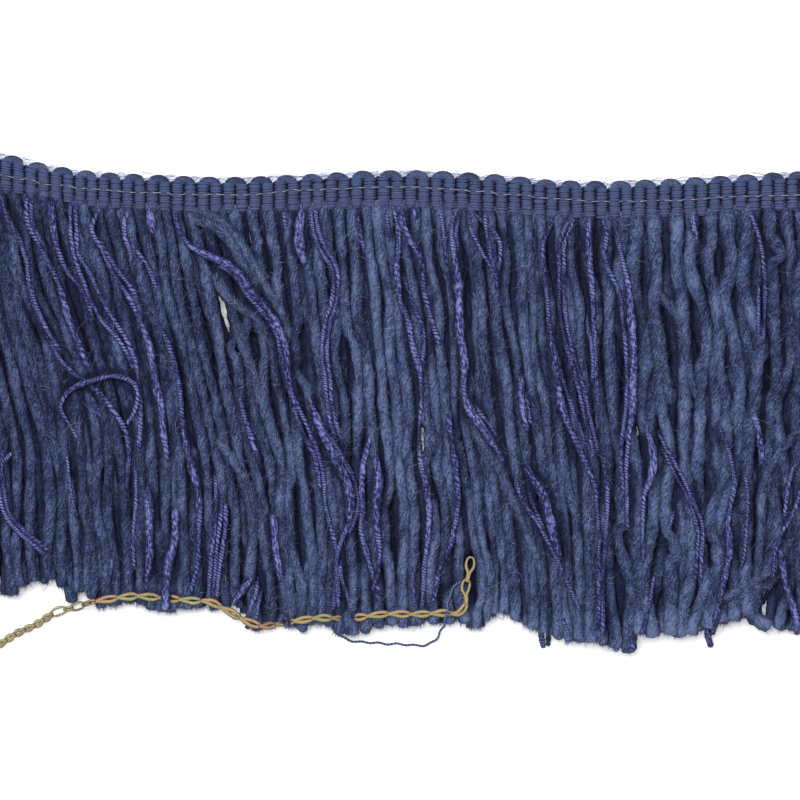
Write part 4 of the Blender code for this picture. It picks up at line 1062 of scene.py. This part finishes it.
def wool_layer(layer, from_top, seed):
    """One layer of roving, laid strand by strand on what is below it, the two at each edge first."""
    random = np.random.default_rng(seed)
    strands = wool_lines(layer, from_top, random)
    bundle = Bundle()
    order = random.permutation(len(strands))
    outermost = (order < 2) | (order > len(strands) - 3)
    for number in np.concatenate([order[outermost], order[~outermost]]):
        line, width = strands[number]
        flat = layer.flat * squeezed(line, layer.at_heading)
        add_roving(bundle, line, width, flat, layer.sides, layer.step, random)
    return bundle


def wool_sweeps():
    """The listed strands that cross the front layer."""
    random = np.random.default_rng(21)
    bundle = Bundle()
    for ends, radius, *points in SWEEPS:
        line = even(points, FINE)
        travelled = lengths(line)
        lumps = sum(size * np.sin(travelled / wave + start) for size, wave, start in SWEEP_LUMPS)
        width = radius * (1 + lumps)
        flat = SWEEP_FLAT * squeezed(line, SWEEP_AT_HEADING)
        add_roving(bundle, line, width, flat, SWEEP_SIDES, SWEEP_STEP, random, ends)
    return bundle


wool = [wool_layer(layer, len(LAYERS) - 1 - place, 11 + place) for place, layer in enumerate(LAYERS)]
sweeps = wool_sweeps()


# Fibres that stand off the roving
SURFACE_FIBRES = 36000          # in each of two pieces
STRAY_HAIRS = 1700
SLIT_HAIRS = 24                 # over each place where the floor shows between the strands
END_FIBRES = 36                 # at each cut end
END_POINTS = 5                  # points back from a cut end that give its direction
FIBRE_RADIUS = (0.045, 0.085)
FIBRE_FOOT = 0.97               # share of a strand's radius where its fibres start
END_FIBRE_RADIUS = (0.05, 0.11)
HAIR_RADIUS = (0.028, 0.045)
SLIT_HAIR_RADIUS = (0.025, 0.045)
SLIT_HAIR_HEIGHT = (1.2, 3.0)
HAIR_POINTS = 6
WILD_HAIRS = 0.22               # share of the stray hairs that lie in any direction


def wool_tables():
    """How many points each strand has and where it starts in tables of all strands' points, then these
    tables: the points, the way to their right, the radius and the height over width."""
    paths, radii, flats = zip(*laid_wool)
    counts = np.array([len(path) for path in paths])
    starts = np.cumsum(counts) - counts
    sides = [sideways(path) for path in paths]
    return counts, starts, *(np.concatenate(rows) for rows in (paths, sides, radii, flats))


def surface_fibres(random):
    """Short fibres that leave the strands every way and make them fuzzy."""
    number = SURFACE_FIBRES
    counts, starts, path, side, radius, flat = wool_tables()
    rank = np.linspace(0.15, 1.3, len(counts)) ** 2
    strand = random.choice(len(counts), number, p=rank / rank.sum())
    at = starts[strand] + (random.uniform(0, 1, number) * counts[strand]).astype(int)
    side, radius = side[at], radius[at]
    turn = np.clip(random.normal(0, 0.75, number), -1.5, 1.5)
    outward = np.column_stack([side * np.sin(turn)[:, None], np.cos(turn)])
    around = np.column_stack([side * np.cos(turn)[:, None], -np.sin(turn)])
    along = np.column_stack([side[:, 1], -side[:, 0], np.zeros(number)])
    base = path[at] + outward * np.stack([radius, radius, flat[at] * radius], axis=1) * FIBRE_FOOT
    heading = random.normal(-0.4, 0.75, (number, 1))
    length = random.gamma(4.0, 0.32, (number, 1)) + 0.3
    tip = base + length * (along * np.cos(heading) + around * np.sin(heading))
    tip += outward * random.exponential(1.0, (number, 1)) * (0.16 + 0.3 * np.abs(np.sin(turn)))[:, None]
    # Painted shade: fibres that leave a strand's sides get a darker tint; they also carry the painted light
    # along the heading
    tint = random.beta(0.9, 1.15, number) * (0.4 + 0.6 * np.cos(turn)) + painted_light_tone(base[:, 0]) / 3
    bundle = Bundle()
    bundle.spikes(base, tip, random.uniform(*FIBRE_RADIUS, number), tint)
    return bundle


def stray_hairs(random):
    """Longer hairs that curl across the strands of the upper layers."""
    number = STRAY_HAIRS
    counts, starts, path, side, radius, _ = wool_tables()
    begin = random.integers(starts[len(counts) // 3], len(path), number)
    heading = np.arctan2(-side[begin, 0], side[begin, 1]) + random.normal(0, 0.55, number)
    wild = random.random(number) < WILD_HAIRS
    heading[wild] = random.uniform(0, TURN, wild.sum())
    length = random.gamma(3.0, 1.8, number) + 1.4
    bend = random.normal(0, 0.19, number)
    curl = random.normal(0, 0.022, number)
    xy = path[begin, :2] + side[begin] * (radius[begin] * random.uniform(-0.9, 0.9, number))[:, None]
    last = HAIR_POINTS - 1
    points = np.zeros((number, HAIR_POINTS, 3))
    for step in range(HAIR_POINTS):
        points[:, step, :2] = xy
        travelled = length * step / last
        direction = heading + bend * travelled + curl * travelled ** 2
        xy = xy + np.stack([np.cos(direction), np.sin(direction)], axis=1) * (length / last)[:, None]
    share = np.linspace(0, 1, HAIR_POINTS)[None]
    ground = pile.height[pile.cells(points[..., 0], points[..., 1])]
    arch = random.exponential(0.35, (number, 1)) * np.sin(math.pi * share)
    points[..., 2] = ground + 0.05 + arch
    bundle = Bundle()
    bundle.fibres(points, random.uniform(*HAIR_RADIUS, number), random.beta(2.2, 2.0, number))
    return bundle


def slit_hairs(random):
    """Hairs that cross the places where the floor shows between the strands."""
    bundle = Bundle()
    for top_x, top_y, low_x, low_y, width, layers in PARTINGS:
        if layers < len(LAYERS):
            continue
        share = random.uniform(-0.15, 1.15, (SLIT_HAIRS, 1))
        middle = np.array([top_x, top_y]) + share * np.array([low_x - top_x, low_y - top_y])
        heading = random.normal(0.35, 0.6, (SLIT_HAIRS, 1))
        half = width / 2 + random.uniform(0.6, 1.4, (SLIT_HAIRS, 1))
        across = np.linspace(-1, 1, 5)[None] * half
        points = np.zeros((SLIT_HAIRS, 5, 3))
        points[..., 0] = middle[:, :1] + across * np.cos(heading)
        points[..., 1] = middle[:, 1:] + across * np.sin(heading) + random.normal(0, 0.12, (SLIT_HAIRS, 5))
        points[..., 2] = random.uniform(*SLIT_HAIR_HEIGHT, (SLIT_HAIRS, 1))
        radius = random.uniform(*SLIT_HAIR_RADIUS, SLIT_HAIRS)
        bundle.fibres(points, radius, random.uniform(0.5, 0.9, SLIT_HAIRS))
    return bundle


def end_fibres(random):
    """Short fibres that stand out of the cut ends."""
    tips = np.array([path[-1] for path, _, _ in laid_wool])
    along = unit(np.array([path[-1] - path[-1 - END_POINTS] for path, _, _ in laid_wool]))
    radius = np.array([radius[-1] for _, radius, _ in laid_wool])
    tips, along, radius = (np.repeat(values, END_FIBRES, axis=0) for values in (tips, along, radius))
    number = len(tips)
    side = np.stack([along[:, 1], -along[:, 0], np.zeros(number)], axis=1)
    angle = random.uniform(0, TURN, number)
    reach = radius * np.sqrt(random.random(number)) * 0.85
    offset = side * (reach * np.cos(angle))[:, None] + UP * (0.75 * reach * np.sin(angle))[:, None]
    length = random.gamma(3.0, 0.22, number)[:, None] + 0.15
    spread = side * random.normal(0, 0.5, number)[:, None] + UP * random.normal(0, 0.2, number)[:, None]
    bundle = Bundle()
    # Pale tints: partly the cut ends' own paler colour, partly painted light from the floor
    bundle.spikes(
        tips + offset - along * 0.7, tips + offset * 1.15 + along * (length - 0.1) + spread * length,
        random.uniform(*END_FIBRE_RADIUS, number), random.beta(2.8, 1.6, number))
    return bundle


# Violet slub yarns on the wool
THIN_PITCH = 1.6                # length of one turn of the plies where the yarn is thin
THICK_PITCH = 3.8
YARN_FULLNESS = 1.07            # share of the tables' widths that the yarns' bodies fill
YARN_STEP = 0.33
YARN_FLAT = 0.85                # height over width
YARN_PRESS = 0.1                # share of the heap's height that it sinks by
YARN_STIFF = 1.2                # length of the dips that it bridges
YARN_BLUNT = 0.5                # length of the rounded end
YARN_END = 0.5                  # share of its radius at the very end
YARN_SPLIT = 5                  # the yarns whose first point lies right of this x are the second piece
YARN_LUMPS = ((0.08, 1.7), (0.07, 0.8))         # size, and length over which they come and go
SLUB_WIDTHS = (1.2, 2.1)        # widths from which a yarn begins to be a slub, and where it is one
PAIR_ASIDE = 0.62               # distance of two threads side by side from their line
BOW_LIFT = 0.7                  # how high the middle of the bow stands off


def lay_yarn(bundle, points, ends, random, aside=0.0, lift=0.0):
    """One two-ply yarn through given points, with a slower twist where it swells."""
    line = even(points, YARN_STEP)
    if aside:
        line[:, :2] += sideways(line) * aside
    travelled = lengths(line[:, :2])
    uneven = sum(size * np.sin(travelled / wave + random.uniform(0, TURN)) for size, wave in YARN_LUMPS)
    radius = YARN_FULLNESS * line[:, 2] / 2 * (1 + uneven)
    flat = np.full(len(line), YARN_FLAT)
    arch = lift * np.sin(math.pi * travelled / travelled[-1])
    to_crossing = line[:, :2] - YARN_CROSSING
    over_chain = np.any(np.hypot(to_crossing[:, 0], to_crossing[:, 1]) < CROSSING_REACH)
    middle = pile.lay(
        line[:, :2], radius, flat, ends, press=YARN_PRESS, stiff=YARN_STIFF, lift=arch, soft=False,
        over_chain=over_chain)
    thin, slub = SLUB_WIDTHS
    swell = np.clip((line[:, 2] - thin) / (slub - thin), 0, 1)
    pitch = (THIN_PITCH + (THICK_PITCH - THIN_PITCH) * swell) * (1 + 0.3 * np.sin(travelled / 5 + line[0, 0]))
    uneven_twist = blur(random.normal(0, 0.4, len(line)), 2) + 0.12 * np.sin(travelled / 0.9 + line[0, 1])
    turns = np.cumsum(YARN_STEP / pitch) + uneven_twist + random.uniform(0, 1)
    tint = random.uniform(-0.1, 0.75) + 0.35 * swell + 0.2 * np.sin(travelled / 4 + line[0, 1])
    bundle.tube(
        np.column_stack([line[:, :2], middle]), rounded_end(travelled, radius, YARN_BLUNT, YARN_END), 8,
        flat=YARN_FLAT, tint=np.clip(tint, 0, 1), shift=random.uniform(0, 5000),
        lobes=(2, 0.14 - 0.08 * swell), turns=turns, loose=swell)


def violet_yarns():
    """All yarns, in two pieces: left and right of the middle."""
    random = np.random.default_rng(5)
    left, right = Bundle(), Bundle()
    for ends, threads, *points in YARNS:
        bundle = left if points[0][0] < YARN_SPLIT else right
        for aside in ([0.0] if threads == 1 else [-PAIR_ASIDE, PAIR_ASIDE]):
            lay_yarn(bundle, points, ends, random, aside)
    lay_yarn(left, BOW, "hh", random, lift=BOW_LIFT)
    return left, right


yarns_left, yarns_right = violet_yarns()


# All strands are laid: their pieces
pile.settle()
wool_back = wool[0].build("wool_back", WOOL_BELOW_SHADED, "deep_wool")
wool[1].build("wool_middle", WOOL, "navy_wool")
wool_front = wool[2].build("wool_front", WOOL, "navy_wool")
sweeps.build("wool_sweeps", WOOL, "navy_wool")
yarn_piece = yarns_left.build("violet_yarns_left", VIOLET, "violet_yarn")
yarns_right.build("violet_yarns_right", VIOLET, "violet_yarn")
random_fibres = np.random.default_rng(31)
end_fibres(random_fibres).build("cut_end_fibres", FUZZ, "navy_wool")
surface_fibres(random_fibres).build("surface_fibres_1", FUZZ, "navy_wool")
surface_fibres(random_fibres).build("surface_fibres_2", FUZZ, "navy_wool")
stray_hairs(random_fibres).build("stray_hairs", FUZZ, "navy_wool")
slit_hairs(random_fibres).build("slit_hairs", FUZZ, "navy_wool")
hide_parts("fringe_back")
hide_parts("fringe_front")
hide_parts("slub_yarns")


# Woven heading
RIB_OVERHANG = 0.5              # how far the ribs reach down past the heading's lower edge
RIB_POINTS = 14
CAP_POINTS = 15
RIB_SIDES = 12


def rib_x(ribs):
    """x at a number of ribs from the left end, which may be a fraction."""
    x = LEFT_END + RIB_PITCH * np.asarray(ribs, float)
    return x + np.interp(x, *np.array(RIB_DRIFT).T)


def rib_middle(number):
    """x of the middle of a rib."""
    return float(rib_x(number + 0.5))


def shoulder_of(x):
    """Where the ribs end and the scallops' caps begin."""
    return heading_top(x) - RIB_RADIUS - CAP_RISE


def scallop_path(number):
    """The roving of one scallop: up one rib, round the cap and down the next rib."""
    left, right = rib_middle(2 * number), rib_middle(2 * number + 1)
    middle, half = (left + right) / 2, (right - left) / 2
    shoulder = float(shoulder_of(middle))
    low = float(heading_low(middle)) - RIB_OVERHANG
    up = [(left, low + (shoulder - low) * t) for t in np.linspace(0, 1, RIB_POINTS)[:-1]]
    turn = [
        (middle - half * math.cos(math.pi * t), shoulder + CAP_RISE * math.sin(math.pi * t ** CAP_LEAN))
        for t in np.linspace(0, 1, CAP_POINTS)
    ]
    down = [(right, shoulder + (low - shoulder) * t) for t in np.linspace(0, 1, RIB_POINTS)[1:]]
    flat = np.array(up + turn + down)
    return np.column_stack([flat, np.full(len(flat), RIB_CENTRE)])


def heading_ribs():
    """The ribs and caps of the woven heading."""
    random = np.random.default_rng(3)
    bundle = Bundle()
    for number in range((RIB_COUNT + 1) // 2):
        path = scallop_path(number)
        if 2 * number + 1 >= RIB_COUNT:
            path = path[:RIB_POINTS]
        bundle.tube(
            path, RIB_RADIUS * random.uniform(0.96, 1.03), RIB_SIDES, flat=RIB_CENTRE / RIB_RADIUS,
            tint=random.uniform(0.1, 0.9), shift=number * 37.1,
            rough=random.uniform(-0.02, 0.02, (len(path), RIB_SIDES)))
    return bundle


NOTCH_HAIRS = 10                # pale filaments at each notch between two scallops
NOTCH_HAIR_RADIUS = (0.05, 0.085)
HEADING_FIBRES = 5000
HEADING_FIBRE_RADIUS = (0.03, 0.055)
BACKING_ROWS = 7
BACKING_HEIGHT = 0.4            # of the middle of the woven back
BACKING_RADIUS = 0.85
BACKING_FLAT = 0.45
GLINT_RADIUS = 0.09
WARP_ROWS = 12
WARP_RADIUS = 0.32
WARP_THICK = 0.14
WARP_GAP_RISE = 0.45            # how much higher every other warp runs between two ribs
RIB_PROFILE = (  # share of a rib's width, height of the warps there
    (0.0, 0.5), (0.08, 1.2), (0.15, 1.8), (0.34, 2.2), (0.66, 2.2), (0.85, 1.8), (0.92, 1.2),
)
RIB_STAGGER = 0.15              # the warps lie a little higher on every other rib


def over_ribs(profile, first=0, last=RIB_COUNT):
    """x and z of a thread that goes over the ribs, each by the same profile."""
    share, z = np.array(profile).T
    return rib_x(np.arange(first, last)[:, None] + share[None]).ravel(), np.tile(z, last - first)


def heading_warps():
    """The threads across the ribs, over each of them and down between them."""
    random = np.random.default_rng(4)
    bundle = Bundle()
    x, z = over_ribs(RIB_PROFILE)
    in_gap = z < 1
    on_rib = np.arange(len(x)) // len(RIB_PROFILE)
    stagger = np.where(in_gap, 0, RIB_STAGGER * (-1.0) ** on_rib)
    low, top = heading_low(x) + 0.3, shoulder_of(x) + 0.2
    for row in range(WARP_ROWS):
        share = row / (WARP_ROWS - 1)
        waver = blur(random.normal(0, 0.25, len(x)), 4) + stagger + random.normal(0, 0.06, RIB_COUNT)[on_rib]
        raised = in_gap * (WARP_GAP_RISE if row % 2 else 0.0) + random.normal(0, 0.03, len(x))
        ragged = x + (z < 2) * random.normal(0, 0.08, len(x))
        path = np.column_stack([ragged, low + (top - low) * share + waver, z + raised])
        tint = np.clip(share + blur(random.normal(0, 1.1, len(x)), 6), 0, 1)
        bundle.tube(path, WARP_RADIUS, 6, flat=WARP_THICK / WARP_RADIUS, tint=tint, shift=row * 511.3)
    return bundle


def heading_backing():
    """The plain woven back that the ribs stand on."""
    bundle = Bundle()
    x = np.linspace(LEFT_END + 0.05, RIGHT_END - 0.05, 160)
    for row in range(BACKING_ROWS):
        y = heading_low(x) + 0.2 + (shoulder_of(x) - heading_low(x) - 0.6) * row / (BACKING_ROWS - 1)
        path = np.column_stack([x, y, np.full(len(x), BACKING_HEIGHT)])
        bundle.tube(path, BACKING_RADIUS, 6, flat=BACKING_FLAT, tint=0.4, shift=row * 300)
    return bundle


GLINT = (  # the pale metallic thread: x, y
    (-97.5, 55.8), (-87.5, 53.8), (-75, 52.5), (-62.5, 51.8), (-50, 51.3), (-37.5, 51.3), (-25, 52.2),
    (-12.5, 52.8), (0, 53.2), (12.5, 52.5), (25, 51.5), (37.5, 50.3), (50, 49.5), (62.5, 49.8), (72.5, 50),
    (85, 51), (93.8, 50.8), (100, 51),
)
GLINT_PROFILE = (  # share of a rib's width, height of the thread there
    (0.0, 2.36), (0.1, 2.3), (0.2, 1.6), (0.52, 1.6), (0.62, 2.38), (0.8, 2.42),
)


def heading_glint():
    """A thin metallic thread that shows once at each rib."""
    random = np.random.default_rng(6)
    bundle = Bundle()
    x, z = over_ribs(GLINT_PROFILE, 1)
    each = len(GLINT_PROFILE)
    shown = len(x) // each
    x = x + np.repeat(random.uniform(-0.25, 0.25, shown), each)
    z = z - np.repeat(random.random(shown) < 0.08, each) * 0.8
    y = np.clip(smooth_table(x, *np.array(GLINT).T), heading_low(x) + 1.5, shoulder_of(x) - 0.6)
    y += np.repeat(random.normal(0, 0.12, shown), each)
    bundle.tube(np.column_stack([x, y, z]), GLINT_RADIUS, 4, flat=0.8, tint=0.5)
    return bundle


def heading_hairs():
    """Pale filaments that bridge the notches between the scallops."""
    random = np.random.default_rng(8)
    number = NOTCH_HAIRS * (RIB_COUNT // 2)
    x = rib_x(2 * (1 + np.arange(number) // NOTCH_HAIRS))
    valley = shoulder_of(x) + 0.4
    half = random.uniform(1.2, 2.6, number)
    rise = random.uniform(0.2, 1.6, number)
    share = np.linspace(-1, 1, 7)[None]
    points = np.zeros((number, 7, 3))
    points[..., 0] = x[:, None] + half[:, None] * share + random.normal(0, 0.3, (number, 1))
    arch = random.uniform(-0.6, 0.7, (number, 1)) * (1 - share ** 2)
    points[..., 1] = valley[:, None] + rise[:, None] + arch + random.normal(0, 0.3, (number, 1)) * share
    points[..., 2] = random.uniform(1.0, 2.1, (number, 1)) + 0.2 * share
    bundle = Bundle()
    bundle.fibres(points, random.uniform(*NOTCH_HAIR_RADIUS, number), random.random(number))
    return bundle


def heading_fuzz():
    """Short fibres on the ribs and their caps."""
    random = np.random.default_rng(14)
    number = HEADING_FIBRES
    place = random.uniform(0, 1, number)
    scallop = random.integers(0, RIB_COUNT // 2, number)
    base = np.zeros((number, 3))
    for each in range(RIB_COUNT // 2):
        mine = scallop == each
        path = scallop_path(each)
        at = lengths(path) / lengths(path)[-1]
        base[mine] = np.column_stack([np.interp(place[mine], at, column) for column in path.T])
    turn = np.clip(random.normal(0, 0.8, (number, 1)), -1.6, 1.6)
    facing = random.uniform(0, TURN, (number, 1))
    level = np.column_stack([np.cos(facing), np.sin(facing)])
    base[:, :2] += level * RIB_RADIUS * np.abs(np.sin(turn)) * 0.98
    base[:, 2:] += RIB_CENTRE * np.cos(turn)
    direction = unit(random.normal(0, 1, (number, 3)) * [1, 1, 0.25])
    length = random.gamma(4.0, 0.2, (number, 1)) + 0.2
    tip = base + direction * length
    tip[:, 2] = np.maximum(tip[:, 2], base[:, 2] + 0.05)
    bundle = Bundle()
    bundle.spikes(base, tip, random.uniform(*HEADING_FIBRE_RADIUS, number), random.beta(2, 2.5, number))
    return bundle


RIB_WOOL = strand_material(
    "rib_roving",
    ((0.15, (0.020, 0.027, 0.070)), (0.50, (0.050, 0.066, 0.140)), (0.85, (0.096, 0.112, 0.225))),
    streak=(0.5, 16.0, 0.0), fuzz=1.8, relief=0.5, sheen=0.03, gain=3.4, tint_share=0.35, side_dark=0.25,
    recess=(0.4, 1.9, 0.12))
WARP = strand_material(
    "warp_threads",
    ((0.12, (0.098, 0.096, 0.245)), (0.38, (0.066, 0.078, 0.165)), (0.62, (0.060, 0.082, 0.165)),
     (0.88, (0.050, 0.090, 0.255))),
    streak=(0.9, 5.0, 0.05), fuzz=2.2, relief=0.2, sheen=0.03, gain=3.2, tint_share=0.45, side_dark=0.7,
    recess=(0.9, 2.1, 0.05))
GLINT_THREAD = strand_material(
    "pale_metallic_thread",
    ((0.30, (0.22, 0.23, 0.23)), (0.70, (0.52, 0.53, 0.51))),
    streak=(1.2, 3.0, 0.2), relief=0.05, roughness=0.4)
PALE_HAIR = strand_material(
    "pale_filament",
    ((0.30, (0.16, 0.19, 0.46)), (0.70, (0.40, 0.45, 0.72))),
    streak=(0.8, 2.0, 0.0), relief=0.01, roughness=0.5)

ribs = heading_ribs().build("heading_ribs", RIB_WOOL, "navy_band")
heading_warps().build("heading_warps", WARP, "navy_band")
heading_backing().build("heading_backing", RIB_WOOL, "navy_band")
heading_glint().build("heading_glint", GLINT_THREAD, "navy_band")
heading_hairs().build("heading_hairs", PALE_HAIR, "violet_yarn")
heading_fuzz().build("heading_fuzz", FUZZ, "navy_band")
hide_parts("heading")


# Chain stitch
Stitch = namedtuple("Stitch", "length half thick neck slim")
STITCHES = {  # length along the route, half width between the legs, thread radius, share that is neck, slim
    "closed": Stitch(5.1, 0.60, 0.52, 0.0, True),
    "open": Stitch(5.7, 1.0, 0.4, 0.45, False),
    "tail": Stitch(2.6, 0.58, 0.41, 0.0, True),
    "knot": Stitch(1.8, 0.36, 0.32, 0.0, False),
    "ring": Stitch(3.6, 0.92, 0.29, 0.0, False),
}
OVERLAP = 0.75                  # how far a stitch reaches past where the next begins
RISE = 0.45                     # height of the neck where a stitch comes up through the one before
DIP = 0.15                      # how far its far end goes down under the next
STITCH_PLY = 1.6                # length of one turn of the thread's plies


class Route:
    """A smooth route that stitches follow."""

    def __init__(self, points):
        line = even(points, 0.1, columns=3)
        self.travelled = lengths(line)
        self.columns = (*line.T, *sideways(line).T)
        self.length = self.travelled[-1]

    def at(self, along, aside):
        """Points at distances along the route and to the right of it."""
        along = np.clip(along, 0, self.length)
        x, y, z, side_x, side_y = (np.interp(along, self.travelled, column) for column in self.columns)
        return np.column_stack([x + side_x * aside, y + side_y * aside, z])


def add_stitch(bundle, route, begin, pitch, kind, random):
    """One loop of thread: out on one side, round its far end and back on the other."""
    stitch = STITCHES[kind]
    angle = np.linspace(0.03, 0.97, 28) * TURN
    forward = (1 - np.cos(angle)) / 2
    side = np.sign(np.sin(angle))
    opened = np.clip((forward - stitch.neck) / (1 - stitch.neck), 0, 1)
    if stitch.slim:
        wide = 0.18 + 0.82 * np.sin(math.pi * opened ** 1.35) ** 1.2
    else:
        wide = 0.2 * (opened < 1) + 0.8 * np.sqrt(opened * (1 - opened)) * 2
    aside = side * stitch.half * wide * random.uniform(0.92, 1.08)
    path = route.at(begin + forward * (pitch + OVERLAP), aside)
    path[:, 2] += RISE * (1 - ease(forward, 0, 0.25)) - DIP * ease(forward, 0.7, 1)
    plump = stitch.thick * (0.72 + 0.4 * np.sin(math.pi * np.clip(forward, 0.02, 0.98)))
    # Painted shade: the tint drops at the neck, where the stitch comes up through the one before; the two
    # legs differ in tint
    tint = random.uniform(0.25, 0.85) + 0.16 * side - 0.5 * (1 - ease(forward, 0.0, 0.14))
    bundle.tube(
        path, plump, 7, tint=np.clip(tint, 0, 1), shift=begin * 7.7, lobes=(2, 0.12),
        turns=lengths(path) / STITCH_PLY)


def add_stitches(bundle, route, begin, end, kind, random):
    """Stitches of one kind, one after another, that fill the route from begin to end."""
    shares = random.uniform(0.93, 1.07, max(1, round((end - begin) / STITCHES[kind].length)))
    for step in (end - begin) * shares / shares.sum():
        add_stitch(bundle, route, begin, step, kind, random)
        begin += step


GOLD = strand_material(
    "chain_thread",
    ((0.08, (0.08, 0.05, 0.03)), (0.28, (0.42, 0.22, 0.13)), (0.48, (0.42, 0.30, 0.16)),
     (0.68, (0.24, 0.26, 0.10)), (0.90, (0.46, 0.42, 0.22))),
    streak=(0.5, 7.0, 0.1), relief=0.12, patch=(0.05, 0.1, 0.0), gain=3.4, tint_share=0.55, painted_ply_share=0.15,
    side_dark=0.05, roughness=0.5)
TAIL_GOLD = strand_material(
    "chain_tail_thread",
    ((0.16, (0.10, 0.07, 0.025)), (0.42, (0.31, 0.23, 0.10)), (0.62, (0.34, 0.33, 0.13)),
     (0.88, (0.56, 0.51, 0.29))),
    streak=(0.8, 6.0, 0.1), relief=0.12, gain=3.2, tint_share=0.45, painted_ply_share=0.25, side_dark=0.06,
    roughness=0.5)
SLATE = strand_material(
    "loose_thread",
    ((0.25, (0.016, 0.022, 0.050)), (0.48, (0.060, 0.078, 0.155)), (0.70, (0.130, 0.155, 0.280)),
     (0.95, (0.130, 0.140, 0.400))),
    streak=(1.4, 3.0, 0.0), relief=0.06, tint_share=0.35, painted_ply_share=0.6, side_dark=0.4, roughness=0.7)

random_chain = np.random.default_rng(9)
chain = Bundle()
along_chain = Route(CHAIN)
first_open = along_chain.length - OPEN_STRETCH
add_stitches(chain, along_chain, 0.0, first_open, "closed", random_chain)
add_stitches(chain, along_chain, first_open, along_chain.length - OVERLAP, "open", random_chain)
add_stitches(chain, Route(NECK), 0.0, NECK_LENGTH, "knot", random_chain)
chain_piece = chain.build("stay_chain_loops", GOLD, "gold_thread")
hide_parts("stay_chain")

tail = Bundle()
along_tail = Route(TAIL)
sewn = 0.0
for kind in ("knot", "ring", "knot", "ring"):
    add_stitch(tail, along_tail, sewn, STITCHES[kind].length, kind, random_chain)
    sewn += STITCHES[kind].length
add_stitches(tail, along_tail, sewn, along_tail.length - OVERLAP, "tail", random_chain)
tail_piece = tail.build("chain_tail_loops", TAIL_GOLD, "gold_thread")
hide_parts("chain_tail")

THREAD_RADIUS = 0.29
THREAD_WAVES = ((0.17, 0.7), (0.16, 2.0))       # how far it strays, length over which it does
THREAD_PLY = 1.8                # length of one turn of its plies
THREAD_PALE = (33, 38)          # distances along it over which it turns pale
thread = Bundle()
thread_line = even(THREAD, 0.18, columns=3)
thread_far = lengths(thread_line)
thread_stray = sum(reach * np.sin(thread_far / wave) for reach, wave in THREAD_WAVES)
thread_line[:, :2] += sideways(thread_line) * thread_stray[:, None]
thread.tube(
    thread_line, THREAD_RADIUS, 6, tint=0.3 + 0.7 * ease(thread_far, *THREAD_PALE), lobes=(2, 0.3),
    turns=thread_far / THREAD_PLY)
thread_piece = thread.build("loose_thread_plied", SLATE, "slate_thread")
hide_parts("loose_thread")


# Floor, light and world
WHITE = (1, 1, 1, 1)
FLOOR_HALF = 4.0                # metres
FLOOR_COLOUR = (0.86, 0.86, 0.865, 1)
FLOOR_GLOW = 0.3
WORLD_LIGHT = 0.4
SUN_LIGHT = 3.2
SUN_ANGLE = 45                  # how broad the sun is: its shadows are soft
SUN_TILT = (-16, -14, 0)


def add_floor():
    """A pale floor that glows a little, so that it is as white as the photo's."""
    mesh = bpy.data.meshes.new("floor")
    corners = [(x * FLOOR_HALF, y * FLOOR_HALF, 0) for x, y in ((-1, -1), (1, -1), (1, 1), (-1, 1))]
    mesh.from_pydata(corners, [], [(0, 1, 2, 3)])
    look = Look("pale_floor", 0.9)
    glow = {"Emission Color": WHITE, "Emission Strength": FLOOR_GLOW}
    look.give(look.shader, {"Base Color": FLOOR_COLOUR, **glow})
    mesh.materials.append(look.material)
    floor = bpy.data.objects.new("floor", mesh)
    bpy.context.collection.objects.link(floor)


def add_lights():
    """An even white studio, and a broad sun from the upper left."""
    world = bpy.data.worlds.new("studio")
    world.use_nodes = True
    background = world.node_tree.nodes["Background"]
    background.inputs["Color"].default_value = WHITE
    background.inputs["Strength"].default_value = WORLD_LIGHT
    bpy.context.scene.world = world
    sun = bpy.data.lights.new("soft_sun", "SUN")
    sun.energy = SUN_LIGHT
    sun.angle = math.radians(SUN_ANGLE)
    lamp = bpy.data.objects.new("soft_sun", sun)
    lamp.rotation_euler = [math.radians(tilt) for tilt in SUN_TILT]
    bpy.context.collection.objects.link(lamp)


add_floor()
add_lights()
bpy.context.scene.view_settings.view_transform = "Standard"
